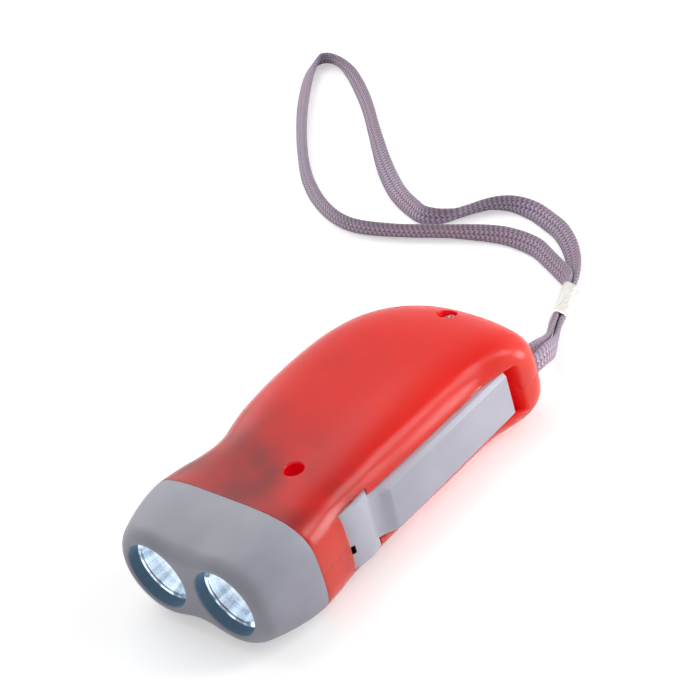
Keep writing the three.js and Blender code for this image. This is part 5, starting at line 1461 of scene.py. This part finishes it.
@dataclass
class Lamp:
    """One lamp behind its lens."""

    side: str
    x: float
    radius: float = 9.65
    front: float = 3.5
    lens_thickness: float = 1.2
    lens_rim: float = 1.5
    lens_rise: float = 0.35
    lens_sink: float = 0.55
    lens_bevel: float = 0.1
    lens_step: float = 0.25
    dome_steps: int = 8
    bowl_wall: float = 0.7
    bowl_end: float = 13.4
    neck: float = 2.8
    facets: int = 26
    rows: int = 5
    led_radius: float = 2.5
    led_tip: float = 8.2
    led_flange: float = 0.4
    led_flange_depth: float = 1
    led_gap: float = 0.02
    board_front: float = 15.2

    def lens(self) -> Piece:
        """Turns a clear lens with a raised rim ring and a low dome."""
        shares = [i / self.dome_steps for i in range(self.dome_steps + 1)]
        inner, step, bevel = self.radius - self.lens_rim, self.lens_step, self.lens_bevel
        front = [
            (inner * share, self.lens_sink - self.lens_rise * (1 - share ** 2)) for share in shares
        ]
        return turned("clear_disc_" + self.side, [
            *front, (inner + step, bevel), (inner + 2 * step, 0), (self.radius - bevel, 0),
            (self.radius, bevel), (self.radius, self.lens_thickness), (0, self.lens_thickness),
        ], (self.x, self.front, 0), Axis.ALONG_Y, 96)

    def reflector(self) -> Piece:
        """Lofts a bowl whose facets stand in rays, as in a moulded spotlight reflector."""
        start = self.front + self.lens_thickness
        depth = self.bowl_end - start
        mouth = self.radius - self.bowl_wall
        inside, outside = [], []
        for row in range(self.rows + 1):
            share = row / self.rows
            radius = self.neck + (mouth - self.neck) * math.sqrt(1 - share)
            y = start + depth * share
            inside.append(self.facet_ring(radius, y))
            outside.append(self.facet_ring(radius + self.bowl_wall, max(y, start + 1)))
        rim = self.facet_ring(self.radius, start)
        return lofted("bright_bowl_" + self.side, [*inside, *outside[::-1], rim, inside[0]])

    def facet_ring(self, radius: float, y: float) -> Ring:
        """Gives one ring of the bowl's facet corners."""
        return [
            spot(self.x + radius * math.cos(angle), y, radius * math.sin(angle))
            for angle in full_turn(self.facets)
        ]

    def led(self) -> Piece:
        """Turns the round lamp: a domed tip, a barrel and its flange."""
        radius, flange = self.led_radius, self.led_radius + self.led_flange
        tip = [
            (radius * math.sin(angle), self.led_tip + radius * (1 - math.cos(angle)))
            for angle in quarter_turn(self.dome_steps)
        ]
        start, end = self.board_front - self.led_flange_depth, self.board_front - self.led_gap
        return turned("lamp_bulb_" + self.side, [
            *tip, (radius, start), (flange, start), (flange, end), (0, end),
        ], (self.x, 0, 0), Axis.ALONG_Y, 48)

    def build(self, wardrobe: Wardrobe) -> None:
        """Builds and finishes the lamp's three pieces."""
        wardrobe.fit(self.lens(), "lens", "housing", "lens_" + self.side)
        bowl = wardrobe.fit(self.reflector(), "reflector", "housing", "reflector_" + self.side)
        activate(bowl)
        bpy.ops.object.shade_flat()
        wardrobe.fit(self.led(), "led", "housing", "led_" + self.side)


# Squeeze lever


@dataclass
class SqueezeLever:
    """The hinged lever: a round hub, a dip, a ramp and a long flat face."""

    layout: Layout
    hub_radius: float = 6.8
    hub_half_height: float = 8.1
    knuckle_radius: float = 12
    knuckle_reach: float = 5.85
    back: float = 19.6
    half_height: float = 6.6
    face_half_height: float = 5.6
    chamfer: float = 0.9
    skin: float = 2
    flange: float = 1.6
    end: float = 91.2
    crease: float = 44.6
    hollow_faces: tuple[float, float] = (25, 23.8)
    edge_rounding: float = 0.3
    edge_angle: float = math.radians(38)
    seat_radius: float = 4.8
    seat_depth: float = -4.6
    seat_clearance: Flat = (1.3, 0.4)
    spring_room_radius: float = 4.3
    spring_room_floor: float = 3.5
    pin_hole_radius: float = 1.55
    lock_notch: tuple[Corner, Corner] = ((23.3, 22, -3.9), (29, 31.15, -1.7))
    face_path: tuple[Flat, ...] = (
        (34.5, 24.6), (38.2, 24.6), (39.6, 24.7), (41, 25.05), (42.3, 25.6), (43.5, 26.3),
        (44.6, 27), (91.2, 25.8),
    )

    def arm(self) -> Piece:
        """Lofts the arm through its stations, with its outer edges chamfered."""
        rings = [[
            spot(self.back, y, -self.half_height),
            spot(face - self.chamfer, y, -self.half_height),
            spot(face, y, -self.face_half_height),
            spot(face, y, self.face_half_height),
            spot(face - self.chamfer, y, self.half_height),
            spot(self.back, y, self.half_height),
        ] for y, face in self.face_path]
        return lofted("lever_moulding", rings)

    def hollow(self) -> Piece:
        """Lofts the hollow behind the arm's face."""
        height = self.half_height - self.flange
        soft = self.chamfer / 2
        ends = zip((self.crease, self.end - self.skin), self.hollow_faces)
        rings = [[
            spot(self.back - 2, y, -height), spot(face - soft, y, -height),
            spot(face, y, -height + soft), spot(face, y, height - soft),
            spot(face - soft, y, height), spot(self.back - 2, y, height),
        ] for y, face in ends]
        return lofted("hollow_tool", rings)

    def hub(self) -> Piece:
        """Adds the hub, flattened outside by a wider knuckle."""
        x, y = self.layout.pivot
        high = self.hub_half_height
        hub = pillar((x, y), self.hub_radius, -high, high, 96)
        middle = x + self.knuckle_reach - self.knuckle_radius
        knuckle = pillar((middle, y), self.knuckle_radius, -high - 1, high + 1, 192)
        return combine(hub, knuckle, Merge.KEEP)

    def sector_seat(self) -> Piece:
        """Builds the room for the toothed sector in the hub."""
        x, y = self.layout.pivot
        side, front = self.seat_clearance
        past = 12
        seat = pillar((x, y), self.seat_radius, -past, self.seat_depth)
        clear = bar((x - past, y + front, -past), (x + side, y + past, self.seat_depth))
        return combine(seat, clear, Merge.ADD)

    def build(self, wardrobe: Wardrobe) -> None:
        """Builds and finishes the lever."""
        pivot, past = self.layout.pivot, 16
        piece = combine(self.arm(), self.hub(), Merge.ADD)
        round_edges(piece, self.edge_rounding, 3, self.edge_angle)
        for tool in (
            self.hollow(), self.sector_seat(),
            pillar(pivot, self.spring_room_radius, self.spring_room_floor, past),
            pillar(pivot, self.pin_hole_radius, -past, past), bar(*self.lock_notch),
        ):
            combine(piece, tool, Merge.CUT)
        wardrobe.fit(piece, "lever", "lever", "squeeze_lever")


# Screws


@dataclass
class CrossScrew:
    """A small pan-head screw with a cross recess."""

    name: str
    place: Flat
    floor: float
    radius: float = 2.1
    height: float = 1.5
    shank_radius: float = 1
    shank_end: float = -3.3
    tip_share: float = 0.6
    head_shares: tuple[Flat, ...] = ((1, 0.6), (0.93, 0.28), (0.78, 0.09), (0.5, 0))
    slot_width: float = 0.55
    slot_reach: float = 1.3
    slot_depth: float = 0.9
    edge_rounding: float = 0.06

    def build(self, wardrobe: Wardrobe) -> None:
        """Builds and finishes the screw."""
        top = self.floor + self.height
        head = [(self.radius * share, top - depth) for share, depth in self.head_shares]
        piece = turned(self.name + "_head", [
            (0, self.shank_end), (self.shank_radius * self.tip_share, self.shank_end),
            (self.shank_radius, self.shank_end + 1), (self.shank_radius, self.floor),
            (self.radius, self.floor), *head, (0, top),
        ], (*self.place, 0), Axis.UPRIGHT, 48)
        x, y = self.place
        half = self.slot_width / 2
        for reach_x, reach_y in ((self.slot_reach, half), (half, self.slot_reach)):
            low = (x - reach_x, y - reach_y, top - self.slot_depth)
            combine(piece, bar(low, (x + reach_x, y + reach_y, top + 1)), Merge.CUT)
        round_edges(piece, self.edge_rounding, 1)
        wardrobe.fit(piece, "steel", "housing", self.name)


# Wrist strap


@dataclass(frozen=True)
class Station:
    """A point of the strap's route with the tilt of the tape's width from the level."""

    place: Vector
    tilt: float


class Route:
    """A smooth route through stations, with even steps and the tape's width at each."""

    def __init__(self, stations: Sequence[Station], steps: int) -> None:
        """Follows the stations.

        Args:
            stations: The route's stations in order.
            steps: The count of even steps along it.
        """
        fine = self.follow(stations)
        reached = [0.0]
        for (one, _), (two, _) in zip(fine, fine[1:]):
            reached.append(reached[-1] + (two - one).length)
        self.length = reached[-1]
        self.points: list[Vector] = []
        self.tilts: list[float] = []
        index = 0
        for step in range(steps + 1):
            goal = self.length * step / steps
            while index < len(reached) - 2 and reached[index + 1] < goal:
                index += 1
            share = (goal - reached[index]) / max(reached[index + 1] - reached[index], TINY)
            (one, tilt), (two, next_tilt) = fine[index], fine[index + 1]
            self.points.append(one.lerp(two, share))
            self.tilts.append(tilt + (next_tilt - tilt) * share)

    @staticmethod
    def follow(stations: Sequence[Station]) -> list[tuple[Vector, float]]:
        """Passes a centripetal spline through the stations in fine steps."""
        places = [station.place for station in stations]
        before = 2 * places[0] - places[1]
        after = 2 * places[-1] - places[-2]
        padded = [before, *places, after]
        found = []
        for i in range(len(places) - 1):
            near = padded[i:i + 4]
            low, high = stations[i].tilt, stations[i + 1].tilt
            for k in range(SPLINE_STEPS):
                tilt = low + (high - low) * k / SPLINE_STEPS
                found.append((centripetal(near, k / SPLINE_STEPS), tilt))
        found.append((places[-1], stations[-1].tilt))
        return found

    def frame_at(self, index: int) -> tuple[Vector, Vector, Vector]:
        """Gives the place, the width direction and the thickness direction at a step."""
        ahead = self.points[min(index + 1, len(self.points) - 1)]
        behind = self.points[max(index - 1, 0)]
        return self.points[index], *tape_axes((ahead - behind).normalized(), self.tilts[index])


def tape_axes(ahead: Vector, tilt: float) -> tuple[Vector, Vector]:
    """Gives a tape's width and thickness directions from its heading and its tilt in degrees."""
    level = ahead.cross(UP).normalized()
    angle = math.radians(tilt)
    width = level * math.cos(angle) + level.cross(ahead) * math.sin(angle)
    return width, ahead.cross(width)


def centripetal(near: Sequence[Vector], share: float) -> Vector:
    """Gives a point between the middle two of four points, on a curve that doesn't overshoot."""
    gaps = [max((b - a).length, TINY) ** 0.5 for a, b in zip(near, near[1:])]
    start = (near[1] - near[0]) / gaps[0] - (near[2] - near[0]) / (gaps[0] + gaps[1])
    start = (start + (near[2] - near[1]) / gaps[1]) * gaps[1]
    end = (near[2] - near[1]) / gaps[1] - (near[3] - near[1]) / (gaps[1] + gaps[2])
    end = (end + (near[3] - near[2]) / gaps[2]) * gaps[1]
    return hermite(near[1], near[2], start, end, share)


@dataclass
class WristStrap:
    """The knitted strap: a tether round the tail post, a crimp and a long loop."""

    layout: Layout
    width: float = 5.6
    thickness: float = 1.5
    clearance: float = 0.3
    crimp_spread: float = 0.85
    crimp_wall: float = 0.45
    crimp_gap: float = 0.8
    crimp_tilt: float = 58
    crimp_steps: int = 40
    crimp_squareness: float = 0.45
    tuck: float = 2.4
    turn_steps: int = 5
    loop_steps: int = 420
    tether_steps: int = 120
    section_steps: int = 24
    section_squareness: float = 0.35
    loop_length: float = 0.402
    tether_length: float = 0.083
    tether_stations: tuple[tuple[float, float, float, float, float], ...] = (
        (7.5, 130.8, -10.4, 122, 0.85), (9.4, 127.2, -10.2, 120, 0.9),
        (12.4, 122.6, -9.2, 112, 1.1), (16, 117.4, -6.4, 102, 1.4),
        (19.2, 112.4, -3, 94, 1.8), (21, 107.8, -0.8, 90, 2.1),
    )
    loop_stations: tuple[tuple[float, float, float, float], ...] = (
        (1.4, 144.3, -10.4, 58), (-0.7, 149.8, -10.9, 54), (-3.6, 153.5, -11.4, 44),
        (-7.2, 157.7, -12, 38), (-12.7, 163.2, -12.1, 36), (-19.9, 168.5, -12.2, 34),
        (-26.4, 171.5, -12.3, 29), (-32.6, 173.5, -11.9, 42), (-37.9, 173.9, -11.4, 68),
        (-43.2, 173.4, -11.3, 95), (-48, 171.3, -11.4, 114), (-51.6, 167.9, -11.6, 122),
        (-54.4, 164.2, -11.5, 120), (-57.9, 161.3, -11.3, 96), (-62.8, 160.2, -11.4, 65),
        (-70.2, 163, -12.2, 34), (-79.3, 167.6, -12.6, 20), (-88, 173.5, -12.6, 20),
        (-96.1, 179.9, -12.2, 31), (-109.7, 191.9, -11.8, 47), (-121.5, 202.5, -11.7, 50),
        (-131, 210.1, -11.7, 52), (-139.6, 216.1, -11.5, 62), (-145.6, 219.4, -11.3, 81),
        (-150.9, 221.6, -11.3, 100), (-155.1, 222.4, -11.4, 112), (-157.9, 221.4, -11.5, 121),
        (-158.4, 218.5, -11.8, 134), (-157.1, 215, -12.1, 143), (-155.4, 212, -12.1, 144),
        (-152.2, 207.2, -12.1, 145), (-144.8, 197.3, -12.1, 144), (-134.9, 185.7, -11.9, 136),
        (-124.8, 175, -11.7, 130), (-114.6, 165.3, -11.7, 128), (-104.3, 157.6, -11.5, 121),
        (-94.1, 151.9, -11.3, 107), (-85.6, 149, -11.3, 93), (-78.2, 148.4, -11.3, 83),
        (-64.5, 151.2, -11.3, 74), (-49.8, 156.1, -11.3, 76), (-34.5, 159.8, -11.3, 104),
        (-27.4, 160, -11.6, 124), (-20.6, 158.8, -11.8, 132), (-15.4, 156.3, -11.7, 127),
        (-11.2, 154.1, -11.6, 124), (-6.6, 151.6, -11.4, 124), (-4.1, 150.2, -11.2, 123),
        (-1.6, 148.1, -10.8, 122), (1.4, 144.3, -10.4, 122),
    )

    @property
    def crimp_ends(self) -> tuple[Vector, Vector]:
        """The two points that the crimp lies between."""
        return spot(*self.tether_stations[0][:3]), spot(*self.loop_stations[0][:3])

    def aside(self, place: Vector, ahead: Vector, tilt: float, spread: float) -> Vector:
        """Moves a strand's point off the pair's middle line.

        Args:
            place: The point on the middle line.
            ahead: The direction that the strap goes in.
            tilt: The tape's tilt in degrees.
            spread: How far the point moves.

        Returns:
            The strand's own point.
        """
        flat = Vector((ahead.x, ahead.y)).normalized()
        angle = math.radians(tilt)
        side = math.sin(angle) * spread * MM
        lift = math.cos(angle) * spread * MM
        return place + Vector((-flat.y * side, flat.x * side, lift))

    def tether_route(self) -> Route:
        """Goes from the crimp, round the post in the tail, and back into the crimp."""
        middles = [spot(*station[:3]) for station in self.tether_stations]
        out, back = [], []
        for i, (_, _, _, tilt, spread) in enumerate(self.tether_stations):
            ahead = middles[min(i + 1, len(middles) - 1)] - middles[max(i - 1, 0)]
            out.append(Station(self.aside(middles[i], ahead, tilt, spread), tilt))
            back.append(Station(self.aside(middles[i], ahead, tilt, -spread), 180 - tilt))
        radius = self.layout.strap_post_radius + self.clearance + self.thickness / 2
        x, y = self.layout.strap_post
        turn = []
        for i in range(self.turn_steps + 1):
            angle = -math.pi * i / self.turn_steps
            place = spot(x + radius * math.cos(angle), y + radius * math.sin(angle), 0)
            turn.append(Station(place, 90))
        start, end = self.crimp_ends
        inward = (end - start).normalized() * self.tuck * MM
        first = Station(out[0].place + inward, out[0].tilt)
        last = Station(back[0].place + inward, back[0].tilt)
        return Route([first, *out, *turn, *back[::-1], last], self.tether_steps)

    def loop_route(self) -> Route:
        """Goes out of the crimp, round the long loop, and back into it."""
        middles = [spot(*station[:3]) for station in self.loop_stations]
        stations = [Station(m, s[3]) for m, s in zip(middles, self.loop_stations)]
        for index, ahead in ((0, middles[1] - middles[0]), (-1, middles[-1] - middles[-2])):
            tilt = stations[index].tilt
            place = self.aside(middles[index], ahead, tilt, -self.crimp_spread)
            stations[index] = Station(place, tilt)
        start, end = self.crimp_ends
        inward = (start - end).normalized() * self.tuck * MM
        first = Station(stations[0].place + inward, stations[0].tilt)
        last = Station(stations[-1].place + inward, stations[-1].tilt)
        return Route([first, *stations, last], self.loop_steps)

    def section(self) -> list[Flat]:
        """Gives the tape's section: flat faces with full round edges."""
        points = []
        half_width = (self.width - self.thickness) / 2
        radius = self.thickness / 2
        for angle in full_turn(self.section_steps):
            square = abs(math.cos(angle)) ** self.section_squareness
            across = math.copysign(half_width * square, math.cos(angle)) + radius * math.cos(angle)
            points.append((across, radius * math.sin(angle)))
        return points

    def tape(self, name: str, route: Route) -> Piece:
        """Drapes the tape along a route, with a UV map round it and in metres along it."""
        section = self.section()
        frames = [route.frame_at(j) for j in range(len(route.points))]

        def place(i: int, j: int) -> Vector:
            """Gives a grid corner's place on the tape."""
            middle, width, thick = frames[j]
            across, rise = section[i % len(section)]
            return middle + (width * across + thick * rise) * MM

        piece = sealed(draped(name, len(section), len(frames) - 1, place))
        for corner in piece.data.uv_layers.active.data:
            corner.uv.y *= route.length
        return piece

    def crimp(self) -> Piece:
        """Lofts the folded metal crimp: a flat sleeve with turned-out ends."""
        start, end = self.crimp_ends
        ahead = (end - start).normalized()
        first = start + ahead * self.crimp_gap * MM
        last = end - ahead * self.crimp_gap * MM
        width, thick = tape_axes(ahead, self.crimp_tilt)
        half_width = self.width / 2 + self.crimp_wall
        half_thick = self.thickness / 2 + self.crimp_spread + self.crimp_wall

        def ring(share: float, inset: float) -> Ring:
            """Gives a section of the crimp at a share of its length, moved in by an inset."""
            middle = first.lerp(last, share)
            points = []
            for angle in full_turn(self.crimp_steps):
                across, rise = (
                    math.copysign(abs(part) ** self.crimp_squareness, part)
                    for part in (math.cos(angle), math.sin(angle))
                )
                offset = width * across * (half_width - inset) + thick * rise * (half_thick - inset)
                points.append(middle + offset * MM)
            return points

        outside = [ring(share, inset) for share, inset in (
            (0, 0.12), (0.02, 0.02), (0.06, 0), (0.5, 0.1), (0.94, 0), (0.98, 0.02), (1, 0.12),
        )]
        inside = [ring(share, self.crimp_wall) for share in (1, 0.5, 0)]
        return lofted("crimp_tube", [*outside, *inside, outside[0]])

    def build(self, wardrobe: Wardrobe) -> None:
        crimp = wardrobe.fit(self.crimp(), "crimp", "housing", "strap_crimp")
        loop_route = self.loop_route()
        tether_route = self.tether_route()
        loop = wardrobe.fit(self.tape("loop_tape", loop_route), "strap", "housing", "strap_loop")
        tether = wardrobe.fit(
            self.tape("tether_tape", tether_route), "strap", "housing", "strap_tether",
        )
        LOG.info("loop %.4f m, tether %.4f m", loop_route.length, tether_route.length)
        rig.cord(
            loop, exit=loop_route.points[0], length=self.loop_length, diameter=self.width * MM,
            far_end="object", stiffness="limp", lay="loose", path=loop_route.points,
            with_pieces=[crimp],
        )
        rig.cord(
            tether, exit=tether_route.points[0], length=self.tether_length,
            diameter=self.width * MM, far_end="object", stiffness="limp", lay="loose",
            path=tether_route.points,
        )


# Studio


@dataclass(frozen=True)
class PhotoCamera:
    """The photograph's viewpoint, worked out from the object's outline in it."""

    azimuth: float = math.radians(50.542)
    elevation: float = math.radians(33.597)
    roll: float = math.radians(16.836)
    distance: float = 0.573311
    target: Vector = Vector((0.021226, -0.0037, 0.055546))
    focal_pixels: float = 2500
    frame_pixels: float = 700

    def build(self) -> None:
        """Adds the camera and makes it the scene's."""
        a, e = self.azimuth, self.elevation
        right = Vector((math.cos(a), math.sin(a), 0))
        back = Vector((math.sin(a) * math.cos(e), -math.cos(a) * math.cos(e), math.sin(e)))
        up = back.cross(right)
        c, s = math.cos(self.roll), math.sin(self.roll)
        turned_right = right * c - up * s
        turned_up = right * s + up * c
        data = bpy.data.cameras.new("photo_camera")
        data.sensor_width = 36
        data.lens = self.focal_pixels / self.frame_pixels * data.sensor_width
        data.clip_start = 0.01
        camera = bpy.data.objects.new("photo_camera", data)
        bpy.context.scene.collection.objects.link(camera)
        columns = Matrix((turned_right, turned_up, back)).transposed().to_4x4()
        camera.matrix_world = Matrix.Translation(self.target + back * self.distance) @ columns
        bpy.context.scene.camera = camera


@dataclass(frozen=True)
class Softbox:
    """A square studio lamp: its place, size in metres and power in watts."""

    name: str
    place: tuple[float, float, float]
    size: float
    power: float

    def build(self) -> None:
        """Adds the lamp, facing the object."""
        data = bpy.data.lights.new(self.name, "AREA")
        data.size = self.size
        data.energy = self.power
        lamp = bpy.data.objects.new(self.name, data)
        lamp.location = self.place
        ahead = Vector((0, 0, 0.01)) - Vector(self.place)
        lamp.rotation_euler = ahead.to_track_quat("-Z", "Y").to_euler()
        bpy.context.scene.collection.objects.link(lamp)


class Studio:
    """The pale floor, the soft lamps and the white surroundings."""

    boxes = (
        Softbox("key_box", (0.40, 0.35, 0.53), 0.24, 1.0),
        Softbox("side_box", (0.50, 0.52, 0.18), 0.32, 3.1),
        Softbox("top_box", (-0.30, 0.10, 0.66), 0.60, 1.7),
        Softbox("left_box", (-0.55, 0.10, 0.30), 0.40, 0.6),
    )
    ambient = 0.36
    floor_lift = 0.42
    paper = (0.86, 0.86, 0.86, 1.0)

    def seen_directly(self, w: Wiring) -> Socket:
        """Gives 1 for camera, glossy and transmission rays and 0 for the rest."""
        path = w.add("LightPath", {})
        shiny = w.math("MAXIMUM", path["Is Glossy Ray"], path["Is Transmission Ray"])
        return w.math("MAXIMUM", path["Is Camera Ray"], shiny)

    def surroundings(self) -> None:
        """Makes a soft world that reflections see as white."""
        world = bpy.data.worlds.new("surroundings")
        bpy.context.scene.world = world
        world.use_nodes = True
        w = Wiring(world.node_tree)
        strength = w.ramp(self.seen_directly(w), 0.0, 1.0, least=self.ambient)
        w.feed(world.node_tree.nodes["Background"], {"Color": WHITE, "Strength": strength})

    def floor(self) -> None:
        """Lays a pale floor that keeps the object's shadow."""
        clear_selection()
        bpy.ops.mesh.primitive_plane_add(size=6)
        floor = bpy.context.object
        floor.name = "studio_floor"
        material = bpy.data.materials.new("floor_paper")
        material.use_nodes = True
        w = Wiring(material.node_tree)
        w.feed(material.node_tree.nodes["Principled BSDF"], {
            "Base Color": self.paper, "Roughness": 0.9, "Specular IOR Level": 0.0,
            "Emission Color": WHITE,
            "Emission Strength": w.math("MULTIPLY", self.seen_directly(w), self.floor_lift),
        })
        floor.data.materials.append(material)
        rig.stage(floor)

    def build(self) -> None:
        """Builds the studio."""
        bpy.context.scene.view_settings.view_transform = "Standard"
        self.surroundings()
        self.floor()
        for box in self.boxes:
            box.build()


def dress_nodes(wardrobe: Wardrobe) -> None:
    """Gives each CAD node that stays in view its finish."""
    slots = {part["node"]: part["material_slot"] for part in frame["record"]["subparts"]}
    for name, node in frame["nodes"].items():
        if not node.hide_render:
            wardrobe.paint(node, slots[name])
            LOG.info("%s: CAD node with %s finish", name, slots[name])


def main() -> None:
    """Builds the whole scene round the frame."""
    logging.basicConfig(level=logging.INFO, format="%(name)s: %(message)s")
    PhotoCamera().build()
    wardrobe = Wardrobe()
    layout = Layout()
    form = BodyForm()
    WristStrap(layout).build(wardrobe)
    Studio().build()
    for half in Half:
        Shell(half, form, layout).build(wardrobe)
    LampHead(form, layout).build(wardrobe)
    for side, x in (("left", -layout.lamp_spacing / 2), ("right", layout.lamp_spacing / 2)):
        Lamp(side, x).build(wardrobe)
    SqueezeLever(layout).build(wardrobe)
    for name in ("front_screw", "rear_screw"):
        CrossScrew(name, getattr(layout, name), layout.well_floor).build(wardrobe)
    dress_nodes(wardrobe)
    boxes = [[list(corner) for corner in box] for box in (CAD_BOUNDS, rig.bounds())]
    with open("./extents.json", "w", encoding="utf-8") as file:
        json.dump({"cad": boxes[0], "visual": boxes[1]}, file)
    LOG.info("%d pieces built", wardrobe.count)


if __name__ == "__main__":
    main()
